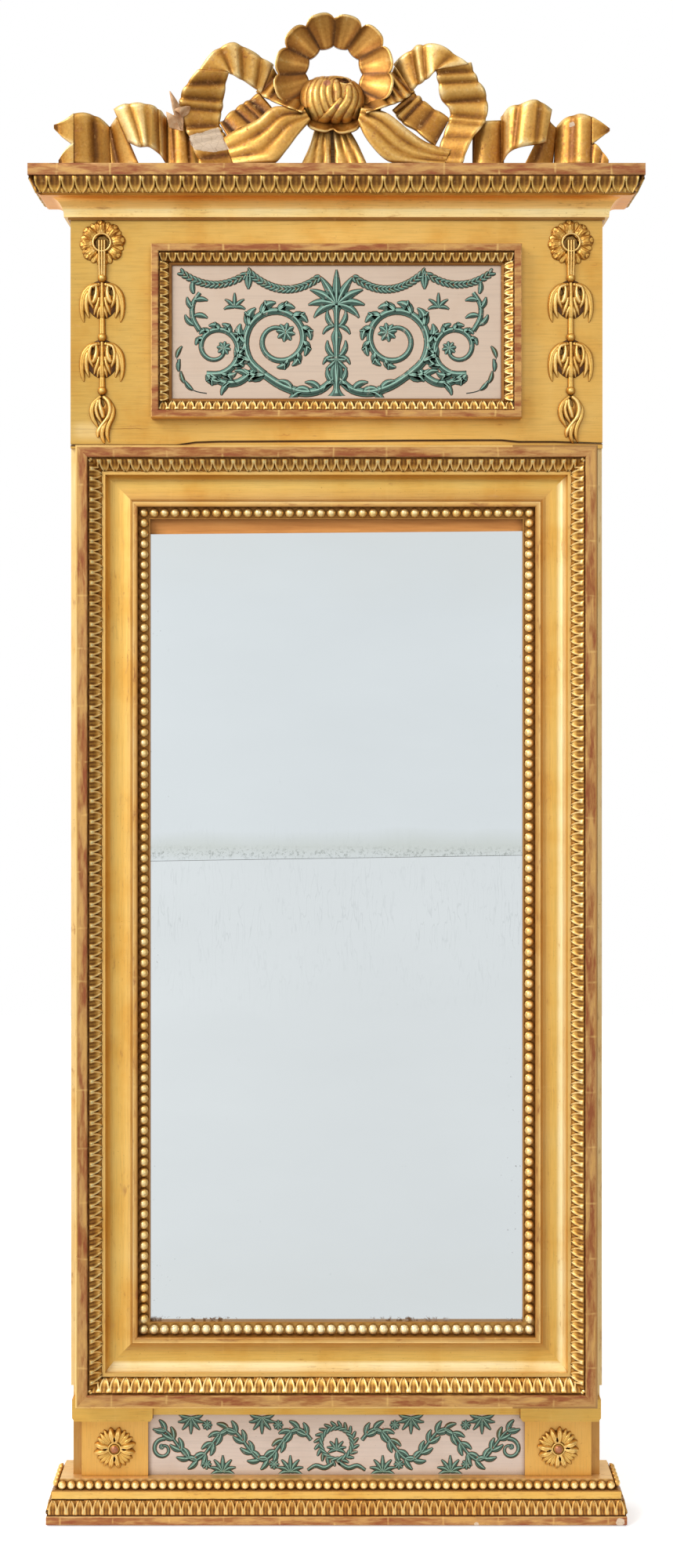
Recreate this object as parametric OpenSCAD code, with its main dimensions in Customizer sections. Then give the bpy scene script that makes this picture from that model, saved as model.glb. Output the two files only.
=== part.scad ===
/* [Carcase] */
// How far the carcase shows beside the main frame on each side
reveal = 7.6; // [5:0.2:20]
// Depth of the carcase, from the wall to its front
carcase_d = 32; // [31:0.5:42]
// Width of a side stile, seen from the front
stile_w = 24; // [18:0.5:34]
// How far the stiles' outer faces stand back below their step
stile_step = 2; // [0.5:0.5:4]
// Height of that step above the foot of the main frame
stile_step_up = 9; // [4:1:30]
// Thickness of the cross rails, front to back
rail_t = 22; // [18:0.5:22]
// Height of the top rail
top_rail_h = 90; // [90:1:110]
// How far the middle rail reaches below and above the head of the main frame
middle_rail_reach = 30; // [20:1:36]
// How far the bottom rail reaches up behind the main frame
bottom_rail_reach = 46; // [34:1:50]

/* [Heights] */
// Height of the base mouldings
base_h = 36; // [30:0.5:48]
// Height of the pedestal zone between base and main frame
lower_h = 68; // [58:0.5:90]
// Height of the main frame around the glass
frame_h = 820; // [700:1:950]
// Height of the fascia between main frame and cornice
fascia_h = 197; // [190:1:230]
// Height of the cornice
cornice_h = 42; // [42:0.5:50]

/* [Main frame] */
// Width over the main frame
frame_w = 444.8; // [400:0.2:500]
// Width of a stile or of the head moulding
moulding_w = 61.2; // [58:0.2:66]
// Width of the foot moulding, a little wider than the others
foot_moulding_w = 65.1; // [60:0.1:70]
// Depth of the moulding at its outer fillet
moulding_d = 32; // [30:0.5:38]
// Width of the outer fillet
outer_fillet_w = 10.3; // [8:0.1:11]
// Width of the carved leaf band
leaf_band_w = 10.4; // [9:0.1:11]
// Drop of the leaf band from its root to its tips
leaf_band_drop = 10; // [6:0.5:10]
// Width of the small fillet inside the leaves
small_fillet_w = 3; // [2:0.1:4]
// Width of the hollow
hollow_w = 22.5; // [20:0.1:24]
// Width of the inner fillet
inner_fillet_w = 4.8; // [4:0.1:6]
// Height of the inner fillet above the back
inner_fillet_h = 14; // [12:0.5:16]
// Thickness of the moulding under the beads
bead_seat_t = 3; // [2.6:0.1:4]
// Diameter of a bead
bead_d = 7.4; // [6:0.1:7.6]
// Spacing of the beads
bead_pitch = 8.95; // [8.2:0.05:12]
// Spacing of the leaves
leaf_pitch = 8.8; // [6:0.1:14]

/* [Glass] */
// Thickness of the two mirror plates
glass_t = 3; // [2:0.1:4]
// How far the plates lie behind the moulding, beyond the sight edge
glass_lap = 14; // [8:0.5:18]
// Height of the seam between the plates, above the foot of the frame
seam_up = 462.5; // [300:0.5:600]
// Rise of the seam from left to right
seam_rise = 5.5; // [0:0.1:8]
// How far the upper plate has slipped below the sight edge, at its left corner
slip_left = 13; // [0.5:0.5:16]
// Rise of the slipped top edge from left to right
slip_rise = 3; // [0:0.1:4]
// Thickness of the backboards
backboard_t = 7; // [5:0.5:9]

/* [Fascia and pictures] */
// Thickness of the fascia board
fascia_t = 4; // [3:0.5:8]
// Width of the shrinkage gap near the foot of the fascia
crack_w = 0.8; // [0.4:0.1:1.5]
// Width over the upper picture frame
picture_w = 318.6; // [300:0.2:330]
// Height over the upper picture frame
picture_h = 149.4; // [140:0.2:156]
// Height of its foot above the foot of the fascia
picture_up = 25.2; // [20:0.2:34]
// Width of its moulding
picture_moulding_w = 17.3; // [15:0.1:20]
// Depth of its moulding
picture_moulding_d = 14; // [12:0.5:18]
// Width of its outer fillet
picture_fillet_w = 6.6; // [5:0.1:8]
// Spacing of its leaves
picture_leaf_pitch = 7.5; // [5:0.1:10]
// Thickness of the painted panels
panel_t = 3; // [2:0.1:4]
// Height of the lower picture
lower_picture_h = 53; // [44:0.5:56]

/* [Pedestals] */
// Width of a pedestal block
block_w = 57.4; // [50:0.2:60]
// Distance of the block's outer side from the carcase's side
block_set = 9.7; // [6:0.1:14]
// How far a block stands in front of the carcase
block_t = 4.4; // [3.4:0.1:8]
// Width of a pedestal cap
cap_w = 69.4; // [62:0.2:74]
// Height of the cap that is seen and its part under the main frame
cap_h = 19; // [12:0.5:24]
// How far a cap stands in front of the carcase
cap_t = 10; // [6:0.5:14]
// Diameter of a pedestal rosette
pedestal_rosette_d = 34.6; // [26:0.2:40]

/* [Base and cornice] */
// How far the base's foot stands out from the carcase
base_out = 21; // [20:0.5:28]
// How far the base's top edge stands out
base_top_out = 10; // [9:0.5:11]
// Diameter of the beads on the base
base_bead_d = 6.4; // [5:0.1:6.6]
// Spacing of the beads on the base
base_bead_pitch = 7.75; // [7:0.05:10]
// Spacing of the leaves on the base
base_leaf_pitch = 7.6; // [5:0.1:10]
// How far the cornice's top band stands out from the fascia
cornice_out = 32.5; // [32:0.5:36]
// Spacing of the cornice's leaves
cornice_leaf_pitch = 11.3; // [8:0.1:15]
// Thickness of the board that closes the cornice, whose edge is its top band
top_board_t = 10; // [8:0.5:12]

/* [Cresting] */
// Thickness of the carved ribbons
ribbon_t = 4; // [3:0.1:4.6]
// Outer radius of the ribbon rosette
rosette_r = 51.6; // [46:0.2:54]
// Radius of its hole
rosette_hole_r = 23.5; // [20:0.5:26]
// Height of the rosette's centre above the cornice
rosette_up = 78; // [76:0.5:82]
// Width of the knot
knot_w = 53; // [48:0.5:56]
// Height of the knot
knot_h = 42; // [38:0.5:44]
// Depth of the knot
knot_d = 25; // [22:0.5:28]
// Height of the knot's centre above the cornice
knot_up = 56.5; // [55:0.5:58]
// Width of the pine batten behind the knot
batten_w = 24; // [18:1:26]
// Thickness of the batten
batten_t = 12; // [8:0.5:14]
// Height of the batten, up to the rosette's hole
batten_h = 50; // [40:0.5:52]

/* [Hanging] */
// Diameter of the ring's iron wire
ring_wire_d = 4; // [3:0.1:4.2]
// Radius of the ring's bow, at the middle of its wire
ring_bow_r = 15; // [12:0.5:20]
// Width of the knuckle that holds the ring
knuckle_w = 14; // [8:0.5:18]
// Outer diameter of the knuckle
knuckle_d = 8; // [7:0.1:8.4]
// Clearance around the ring's bar in the knuckle
pin_gap = 0.06; // [0.03:0.01:0.1]
// Thickness of the hanger plate
plate_t = 1.6; // [1:0.1:1.7]
// Length of the hanger plate below the ring's bar
plate_h = 46; // [42:0.5:48]
// Distance of the ring's bar below the top board
ring_drop = 40; // [32:1:41]
// Length of the ring's straight legs
ring_leg = 8; // [4:0.5:10]

/* [Hidden] */
fit = 0.3; // clearance between pieces that are let in loosely
seam_gap = 0.3; // between the two plates
nail_d = 1.8;
nail_head_d = 4.2;
nail_head_t = 1;
nail_bite = 7; // how deep a nail goes into the wood behind its board
nail_in = 8; // from the carcase's inner edge
nail_end = 30; // from the ends of the opening
nails = 8; // to a side
quirk_w = 0.3; // dark groove beside the outer fillet
arris = 0.8; // rounding of the fillets' edges
relief = 1.3; // height of the carved leaves above their strip
strip_t = 3.6; // thickness of the leaf strips
lath_t = 1.5; // thickness of the bead laths
long = 2000; // longer than any cut

z_lower = base_h;
z_frame = z_lower + lower_h;
z_fascia = z_frame + frame_h;
z_cornice = z_fascia + fascia_h;
z_top = z_cornice + cornice_h;
z_carcase = z_top - top_board_t;
half_w = frame_w / 2 + reveal;
low_half_w = half_w - stile_step;
inner_half_w = half_w - stile_w;
fascia_y = carcase_d + fascia_t;

// Main frame section: u runs inwards from the outer edge, h forwards from the back
u_leaf = outer_fillet_w + quirk_w;
u_small = u_leaf + leaf_band_w;
u_hollow = u_small + small_fillet_w;
u_inner = u_hollow + hollow_w;
u_bead = u_inner + inner_fillet_w;
h_root = moulding_d - 4.4; // crown of the leaves' root
h_tip = h_root - leaf_band_drop;
h_seat = h_tip - strip_t - relief + 1;
sight_w = frame_w - 2 * moulding_w;
sight_top = z_fascia - moulding_w;
sight_foot = z_frame + foot_moulding_w;
glass_half_w = sight_w / 2 + glass_lap;
glass_foot = sight_foot - glass_lap;
opening_foot = z_frame + bottom_rail_reach;
opening_top = z_fascia - middle_rail_reach;
z_seam = z_frame + seam_up;
glass_y = carcase_d;
back_y = glass_y - glass_t;
board_y = back_y - backboard_t;
board_joint = (opening_foot + opening_top) / 2;

// Upper picture frame
picture_foot = z_fascia + picture_up;
picture_head = picture_foot + picture_h;
picture_seat_w = picture_moulding_w - 9;
picture_leaf_h = picture_moulding_d - 3.4;
picture_tip_h = 6;

// Pedestal zone
block_out_x = half_w - block_set;
block_in_x = block_out_x - block_w;
cap_out_x = low_half_w;
cap_in_x = cap_out_x - cap_w;
cap_foot = z_frame - cap_h;
lower_panel_t = panel_t / 2;
lower_picture_head = z_lower + lower_picture_h;

// Cornice section, out from the fascia and up from its foot
c_foot_h = 1.7;
c_foot_out = 5.1;
c_cove_out = cornice_out - 17;
c_tip_out = cornice_out - 7.5;
c_root_out = cornice_out - 0.9;
c_bed_h = cornice_h - top_board_t;
c_soffit_h = 17.1;
c_soffit_out = cornice_out - 9;

// Base section, out from the carcase and up from the floor
b_fillet_h = 7.7;
b_leaf_foot_out = base_out - 0.6;
b_leaf_top = 21;
b_band_top = 27.6;
b_band_out = base_out - 4.4;
b_bead_foot = b_band_top + 0.6;

// Cresting: depths are distances from the wall
knot_x = -3.5;
rosette_x = -2.2;
rosette_rim_y = 62;
rosette_hole_y = 50;
rosette_t = 5;
rosette_lobes = 12;
rosette_notch = 4.6;
rosette_steps = 6; // of a lobe
batten_front = 46;

// Hanging ring: axis of its bar
ring_y = carcase_d - rail_t - knuckle_d / 2;
ring_z = z_carcase - ring_drop;

GOLD = "#d9a441";
PINE = "#c89a5b";
IRON = "#4b4642";

// A block between two corners
module block(a, b) translate(a) cube(b - a);

// Turns an outline drawn in x and z into a plate that fills the depths y0 to y1 from the wall
module plate(y0, y1) translate([0, -y0, 0]) rotate([90, 0, 0]) linear_extrude(y1 - y0) children();

// Carries a section (u, h) and its length onto one side of a rectangle that stands at depth y
module on_side(side, w, z0, z1, y) {
    middle = (z0 + z1) / 2;
    turn = side == "head" ? [[0, 0, -1, 0], [0, -1, 0, -y], [-1, 0, 0, z1]]
         : side == "foot" ? [[0, 0, 1, 0], [0, -1, 0, -y], [1, 0, 0, z0]]
         : side == "left" ? [[1, 0, 0, -w / 2], [0, -1, 0, -y], [0, 0, -1, middle]]
         : [[-1, 0, 0, w / 2], [0, -1, 0, -y], [0, 0, 1, middle]];
    multmatrix([turn[0], turn[1], turn[2], [0, 0, 0, 1]]) children();
}

// The part of a rectangle's border that one mitred side takes, as an outline in x and z
function mitre_outline(side, w, z0, z1, a, foot_a) =
    let (x = w / 2, i = w / 2 - a, t = z1 - a, f = z0 + foot_a)
    side == "head" ? [[-x, z1], [x, z1], [i, t], [-i, t]]
    : side == "foot" ? [[-x, z0], [x, z0], [i, f], [-i, f]]
    : side == "left" ? [[-x, z0], [-x, z1], [-i, t], [-i, f]]
    : [[x, z0], [x, z1], [i, t], [i, f]];

// A run of pointed leaves: a sloping strip and, on it, one outline that ends in a row of tips.
// It lies along z, its roots at (u0, h0) and its tips at (u1, h1)
module leaf_run(length, pitch, u0, h0, u1, h1, under) {
    count = max(1, floor(length / pitch));
    step = length / count;
    w = u1 - u0;
    tips = [for (i = [0 : count - 1], p = [[0.25, -0.5], [0.62, -0.4], [0.98, 0], [0.62, 0.4]])
        [u0 + p[0] * w, (i + 0.5 + p[1]) * step - length / 2]];
    linear_extrude(length, center = true)
        polygon([[u0, h0 - under], [u1, h1 - under], [u1, h1 - relief], [u0, h0 - relief]]);
    intersection() {
        linear_extrude(length, center = true)
            polygon([[u0, h0 - relief], [u1, h1 - relief], [u1, h1], [u0, h0]]);
        rotate([-90, 0, 0])
            linear_extrude(long)
                polygon(concat([[u0, -length / 2]], tips, [[u0 + 0.25 * w, length / 2], [u0, length / 2]]));
    }
}

// A lath with a row of beads along z, its middle at u, its back at h
module bead_run(length, pitch, d, u, h, w, lath) {
    count = max(1, floor(length / pitch));
    step = length / count;
    translate([u - w / 2, h, -length / 2]) cube([w, lath, length]);
    for (i = [0 : count - 1])
        translate([u, h + d / 2, (i + 0.5) * step - length / 2]) sphere(d = d, $fn = 24);
}

// Nail places behind the glass: x and z of each, beside the plates
nail_x = inner_half_w - nail_in;
NAIL_Z = [for (i = [0 : nails - 1])
    opening_foot + nail_end + i * (opening_top - opening_foot - 2 * nail_end) / (nails - 1)];
module back_nail_holes(y0, y1)
    for (s = [-1, 1], z = NAIL_Z)
        translate([s * nail_x, -y0, z]) rotate([90, 0, 0]) cylinder(d = nail_d, h = y1 - y0, $fn = 24);

module side_stile(s) color(PINE) mirror([s < 0 ? 1 : 0, 0, 0]) {
    step_z = z_frame + stile_step_up;
    block([inner_half_w, -carcase_d, 0], [low_half_w, 0, z_carcase]);
    block([low_half_w, -carcase_d, step_z], [half_w, 0, z_carcase]);
}

module cross_rail(z0, z1, t) color(PINE)
    block([-inner_half_w, -carcase_d, z0], [inner_half_w, t - carcase_d, z1]);

module top_rail() difference() {
    cross_rail(z_carcase - top_rail_h, z_carcase, rail_t);
    hanger_nails(nail_bite);
}
module middle_rail() cross_rail(opening_top, z_fascia + middle_rail_reach, rail_t);
module bottom_rail() cross_rail(0, opening_foot, carcase_d);

BASE_FRONT = [[0, 0], [base_out - arris, 0], [base_out, arris], [base_out, b_fillet_h - arris],
    [base_out - arris, b_fillet_h], [b_leaf_foot_out - strip_t, b_fillet_h + 0.8],
    [b_band_out + 1 - strip_t, b_leaf_top - 0.3], [b_band_out, b_leaf_top], [b_band_out, b_band_top],
    [b_band_out - arris, b_bead_foot], [base_top_out, b_bead_foot], [base_top_out, base_h], [0, base_h]];
BASE_RETURN = [[0, 0], [base_out - arris, 0], [base_out, arris], [base_out, b_fillet_h - arris],
    [base_out - arris, b_fillet_h + 0.8], [b_band_out + 1, b_leaf_top - 0.3], [b_band_out, b_leaf_top],
    [b_band_out, b_band_top], [base_top_out + 3, b_bead_foot + 0.4], [base_top_out + 1.6, base_h - 3],
    [base_top_out, base_h], [0, base_h]];

// Everything in front of a box, between the mitres at its two corners
module front_wedge(half, y) linear_extrude(long)
    polygon([[-half, -y], [half, -y], [half + long / 4, -y - long / 4], [-half - long / 4, -y - long / 4]]);

// The moulding that runs along the front of a box
module front_moulding(section, half, y, z) intersection() {
    translate([-long / 2, -y, z]) rotate([90, 0, 90]) mirror([1, 0, 0]) linear_extrude(long) polygon(section);
    front_wedge(half, y);
}

// The moulding that returns along the right side of the same box to the wall
module return_moulding(section, half, y, z) intersection() {
    translate([half, 0, z]) rotate([90, 0, 0]) linear_extrude(long) polygon(section);
    linear_extrude(long) polygon([[half, 0], [half + long / 4, 0], [half + long / 4, -y - long / 4], [half, -y]]);
}

module base_front() color(GOLD) front_moulding(BASE_FRONT, low_half_w, carcase_d, 0);
module base_return(s) color(GOLD) mirror([s < 0 ? 1 : 0, 0, 0])
    return_moulding(BASE_RETURN, low_half_w, carcase_d, 0);

// Leaves with their roots down and their tips up, along the front of the base
module base_leaves() color(GOLD)
    on_side("foot", 0, b_fillet_h + 0.8, 0, carcase_d)
        leaf_run(2 * (low_half_w + b_band_out - 3), base_leaf_pitch, 0, b_leaf_foot_out,
            b_leaf_top - 0.3 - b_fillet_h - 0.8, b_band_out + 1, strip_t);

module base_beads() color(GOLD)
    on_side("foot", 0, b_bead_foot, 0, carcase_d)
        bead_run(2 * (low_half_w + base_top_out), base_bead_pitch, base_bead_d, base_bead_d / 2 + 0.3,
            base_top_out, base_bead_d + 0.6, 1);

// The old shrinkage gap near the foot of the fascia, as heights above its foot
CRACK = [[-half_w, 2.6], [-205, 1.9], [-139, 2.4], [-122, 4.9], [-100, 5.6], [115, 6.8], [143, 6.8],
    [157, 5.4], [188, 5.4], [half_w, 4]];
module fascia_board() color(GOLD) {
    plate(carcase_d, fascia_y)
        polygon(concat([for (p = CRACK) [p[0], z_fascia + p[1]]],
            [[half_w, z_fascia], [-half_w, z_fascia]]));
    plate(carcase_d, fascia_y)
        polygon(concat([for (p = CRACK) [p[0], z_fascia + p[1] + crack_w]],
            [[half_w, z_carcase], [-half_w, z_carcase]]));
}

// A hollow that rises from (x0, z0) and ends level at (x1, z1)
function cavetto(x0, z0, x1, z1) =
    [for (i = [0 : 8]) let (a = 90 * i / 8) [x1 - (x1 - x0) * cos(a), z0 + (z1 - z0) * sin(a)]];
CORNICE_FOOT = concat([[0, 0], [2, 0], [2, c_foot_h], [c_foot_out, c_foot_h]],
    cavetto(c_foot_out, c_foot_h + 0.6, c_cove_out, c_soffit_h));
CORNICE_FRONT = concat(CORNICE_FOOT, [[c_tip_out - strip_t, c_soffit_h], [c_tip_out - strip_t, c_soffit_h + 0.9],
    [c_root_out - strip_t, c_bed_h], [0, c_bed_h]]);
CORNICE_RETURN = concat(CORNICE_FOOT, [[c_soffit_out, c_soffit_h], [c_tip_out, c_soffit_h + 0.9],
    [c_root_out, c_bed_h - 1], [c_root_out, c_bed_h], [0, c_bed_h]]);

module cornice_front() color(GOLD) front_moulding(CORNICE_FRONT, half_w, fascia_y, z_cornice);
module cornice_return(s) color(GOLD) mirror([s < 0 ? 1 : 0, 0, 0])
    return_moulding(CORNICE_RETURN, half_w, fascia_y, z_cornice);
module cornice_top_board() color(GOLD)
    block([-half_w - cornice_out, -fascia_y - cornice_out, z_carcase], [half_w + cornice_out, 0, z_top]);

// Leaves with their roots under the top board and their tips down
module cornice_leaves() color(GOLD) intersection() {
    on_side("head", 0, 0, z_carcase, fascia_y)
        leaf_run(2 * (half_w + c_root_out), cornice_leaf_pitch, 0, c_root_out, c_bed_h - c_soffit_h - 0.9,
            c_tip_out, strip_t);
    front_wedge(half_w, fascia_y);
}

// Section of the main frame, its widths stretched by k for the foot
function frame_section(k) = let (f = outer_fillet_w, u = u_hollow, i = u_inner, d = moulding_d,
    hs = h_tip + 0.4, hi = inner_fillet_h, low = 7.5, bend = 7,
    points = concat([[0, 0], [0, d - arris], [arris, d], [f - arris, d], [f, d - arris], [f, h_root - strip_t],
        [u_small, h_tip - strip_t], [u_small, hs], [u, hs]],
        [for (a = [15 : 15 : 90]) [u + bend * (1 - cos(a)), low + (hs - low) * (1 - sin(a))]],
        [for (a = [15 : 15 : 90]) [u + bend + (i - u - bend) * sin(a), low + 5 * (1 - cos(a))]],
        [[i, hi - arris], [i + arris, hi], [u_bead - arris, hi], [u_bead, hi - arris], [u_bead, bead_seat_t],
        [moulding_w - 0.9, bead_seat_t], [moulding_w - 0.9, bead_seat_t + 1], [moulding_w, bead_seat_t + 1],
        [moulding_w, 0]]))
    [for (p = points) [p[0] * k, p[1]]];

module frame_cut(side) plate(0, long) polygon(mitre_outline(side, frame_w, z_frame, z_fascia, moulding_w,
    foot_moulding_w));
foot_k = foot_moulding_w / moulding_w;
function stretch(side) = side == "foot" ? foot_k : 1;

module frame_member(side) color(GOLD) difference() {
    intersection() {
        on_side(side, frame_w, z_frame, z_fascia, carcase_d)
            linear_extrude(long, center = true) polygon(frame_section(stretch(side)));
        frame_cut(side);
    }
    if (side == "left" || side == "right") back_nail_holes(board_y, back_y + nail_bite);
}

module frame_leaves(side) color(GOLD) {
    k = stretch(side);
    run = side == "head" || side == "foot" ? frame_w - 2 * u_leaf : frame_h - u_leaf - u_leaf * foot_k;
    intersection() {
        on_side(side, frame_w, z_frame, z_fascia + (side == "head" ? 0 : u_leaf * (foot_k - 1)), carcase_d)
            leaf_run(run, leaf_pitch, u_leaf * k, h_root, u_small * k, h_tip, strip_t);
        frame_cut(side);
    }
}

// The bead laths lie in the groove; the upright ones end at the level ones
bead_lane = moulding_w - 0.9 - u_bead;
module frame_beads(side) color(GOLD) {
    k = stretch(side);
    level = side == "head" || side == "foot";
    lane = bead_lane * k;
    middle = (u_bead + bead_lane / 2) * k;
    head_inner = u_bead + bead_lane;
    run = level ? frame_w - 2 * u_bead : frame_h - head_inner - head_inner * foot_k;
    lift = level ? 0 : head_inner * (foot_k - 1);
    on_side(side, frame_w, z_frame, z_fascia + lift, carcase_d)
        bead_run(run, bead_pitch, bead_d, middle, bead_seat_t, lane, 1);
}

// Edges of the plates, as heights at their left and right sides
module glass_upper() color("#ccd4d8") plate(back_y, glass_y)
    polygon([[-glass_half_w, z_seam + seam_gap], [glass_half_w, z_seam + seam_gap + seam_rise],
        [glass_half_w, sight_top - slip_left + slip_rise], [-glass_half_w, sight_top - slip_left]]);
module glass_lower() color("#ccd4d8") plate(back_y, glass_y)
    polygon([[-glass_half_w, glass_foot], [glass_half_w, glass_foot], [glass_half_w, z_seam + seam_rise],
        [-glass_half_w, z_seam]]);

module glass_slips() color(PINE) {
    for (s = [-1, 1]) difference() {
        x0 = min(s * (glass_half_w + fit), s * inner_half_w);
        x1 = max(s * (glass_half_w + fit), s * inner_half_w);
        block([x0, -glass_y, opening_foot], [x1, -back_y, opening_top]);
        back_nail_holes(board_y, glass_y + 1);
    }
    block([-glass_half_w - fit, -glass_y, opening_foot], [glass_half_w + fit, -back_y, glass_foot]);
}

module backboard(z0, z1) color(PINE) difference() {
    block([fit - inner_half_w, -back_y, z0], [inner_half_w - fit, -board_y, z1]);
    back_nail_holes(board_y - 1, back_y + 1);
}

// A hand-made nail, its head at depth y
module nail(x, y, z, bite) translate([x, -y, z]) rotate([90, 0, 0]) {
    cylinder(d = nail_d, h = bite, $fn = 24);
    translate([0, 0, -nail_head_t]) cylinder(d = nail_head_d, h = nail_head_t, $fn = 24);
}
plate_y = carcase_d - rail_t - plate_t;
HANGER_NAIL_Z = [ring_z - plate_h + 14, ring_z - plate_h + 5];
module hanger_nails(bite) for (z = HANGER_NAIL_Z) nail(0, plate_y, z, plate_t + bite);
module back_nails() color(IRON) {
    for (s = [-1, 1], z = NAIL_Z) nail(s * nail_x, board_y, z, backboard_t + nail_bite);
    hanger_nails(nail_bite);
}

// Upper picture: frame, leaves and panel on the fascia
PICTURE_SECTION = let (d = picture_moulding_d, f = picture_fillet_w, u = f + picture_seat_w, w = picture_moulding_w)
    [[0, 0], [0, d - arris], [arris, d], [f - arris, d], [f, d - arris], [f, picture_leaf_h - strip_t + 1],
    [u, picture_tip_h - strip_t + 1], [u, panel_t + 1.6], [w, panel_t + 1], [w, panel_t], [w - 3, panel_t],
    [w - 3, 0]];
module picture_cut(side) plate(0, long)
    polygon(mitre_outline(side, picture_w, picture_foot, picture_head, picture_moulding_w, picture_moulding_w));
module picture_member(side) color(GOLD) intersection() {
    on_side(side, picture_w, picture_foot, picture_head, fascia_y)
        linear_extrude(long, center = true) polygon(PICTURE_SECTION);
    picture_cut(side);
}
module picture_leaves() color(GOLD) for (side = ["head", "foot", "left", "right"]) intersection() {
    f = picture_fillet_w;
    run = side == "head" || side == "foot" ? picture_w - 2 * f : picture_h - 2 * f;
    on_side(side, picture_w, picture_foot, picture_head, fascia_y)
        leaf_run(run, picture_leaf_pitch, f, picture_leaf_h, f + picture_seat_w, picture_tip_h, strip_t - 1);
    picture_cut(side);
}
module upper_picture_panel() color("#dccfc2") {
    a = picture_moulding_w - 3 + fit;
    plate(fascia_y, fascia_y + panel_t) translate([a - picture_w / 2, picture_foot + a])
        square([picture_w - 2 * a, picture_h - 2 * a]);
}
module lower_picture_panel() color("#c9bdb2") plate(carcase_d, carcase_d + lower_panel_t)
    polygon(both([[0, z_lower], [block_in_x, z_lower], [block_in_x, cap_foot], [cap_in_x, cap_foot],
        [cap_in_x, lower_picture_head], [0, lower_picture_head]]));
module lower_picture_fillet() color(GOLD) plate(carcase_d, carcase_d + block_t)
    translate([-cap_in_x, lower_picture_head]) square([2 * cap_in_x, z_frame - lower_picture_head]);

module pedestal_block(s) color(GOLD) mirror([s < 0 ? 1 : 0, 0, 0])
    block([block_in_x, -carcase_d - block_t, z_lower], [block_out_x, -carcase_d, cap_foot]);
module pedestal_cap(s) color(GOLD) mirror([s < 0 ? 1 : 0, 0, 0])
    plate(carcase_d, carcase_d + cap_t) polygon([[cap_in_x + 2, cap_foot], [cap_out_x - 2, cap_foot],
        [cap_out_x, cap_foot + 3], [cap_out_x, z_frame], [cap_in_x, z_frame], [cap_in_x, cap_foot + 3]]);

// A flat-backed boss: the part of a ball that stands out of the plane y, its middle lifted by up
module boss(x, y, z, d, up) translate([x, -y, z]) rotate([90, 0, 0]) rotate_extrude($fn = 32)
    let (r = d / 2, a0 = asin(-up / r))
        polygon(concat([[0, 0]], [for (i = [0 : 8]) let (a = a0 + (90 - a0) * i / 8) [r * cos(a), up + r * sin(a)]]));

// An outline with petals, its radius swinging between r - dip and r
function petals(r, dip, count, turn) = [for (a = [0 : 6 : 359])
    (r - dip * pow(abs(cos(count * a / 2 + turn)), 3)) * [cos(a), sin(a)]];
module pedestal_rosette(s) color(GOLD) {
    x = s * (block_in_x + block_out_x) / 2;
    z = (z_lower + cap_foot) / 2;
    y = carcase_d + block_t;
    r = pedestal_rosette_d / 2;
    translate([x, 0, z]) plate(y, y + 3.4) polygon(petals(r, 3.6, 4, 0));
    translate([x, 0, z]) plate(y + 3.4, y + 5.2) polygon(petals(r * 0.62, 2.4, 8, 90));
    boss(x, y + 5.2, z, 9, -1.2);
}

// Husk drop: sizes below the rosette's centre, widths from its middle line
husk_in = 27.5; // from the carcase's outer edge
husk_x = half_w - husk_in;
husk_r = 18.4;
husk_down = husk_r + fit; // of the rosette's centre below the cornice
husk_t = 4.6;
BELL = [[0, 0], [6, 0.5], [12, -4], [17, -12], [19, -22], [18, -30], [16.4, -33.4], [13, -30], [9.6, -26],
    [5, -30], [0, -33]];
BALLS = [29.8, 81.7, 128];
BELLS = [34.6, 85];
LAST_HUSK = [[0, 0], [6, -3], [9.4, -12], [8, -22], [4, -32], [3, -38], [6.4, -42.4], [-1, -42], [-4.6, -38],
    [-4, -30], [-5, -25.4], [-9, -15], [-8, -6], [-4, -1]];
function both(half) = concat(half, [for (i = [len(half) - 1 : -1 : 1]) [-half[i][0], half[i][1]]]);
module husk_drop(s) color(GOLD) translate([s * husk_x, 0, z_cornice - husk_down]) mirror([s < 0 ? 0 : 1, 0, 0]) {
    y = fascia_y;
    plate(y, y + husk_t) difference() {
        polygon(petals(husk_r, 2.4, 10, 0));
        circle(r = 7);
    }
    plate(y, y + husk_t + 1.2) difference() {
        circle(r = 8.4, $fn = 32);
        circle(r = 6.4, $fn = 32);
    }
    plate(y, y + husk_t) translate([-2.5, -BALLS[0]]) square([5, BALLS[0] + 3]);
    plate(y, y + husk_t - 1.6) translate([-2.8, -BALLS[2]]) square([5.6, BALLS[2] - BALLS[0]]);
    for (z = BALLS) boss(0, y, -z, 9.4, 1.4);
    for (z = BELLS) {
        translate([0, 0, -z]) plate(y, y + husk_t) polygon(both(BELL));
        translate([0, 0, -z - 3]) plate(y + husk_t, y + husk_t + 2) polygon(both(BELL * 0.72));
    }
    translate([0, 0, -BALLS[2] - 4.4]) plate(y, y + husk_t) polygon(LAST_HUSK);
}

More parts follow.
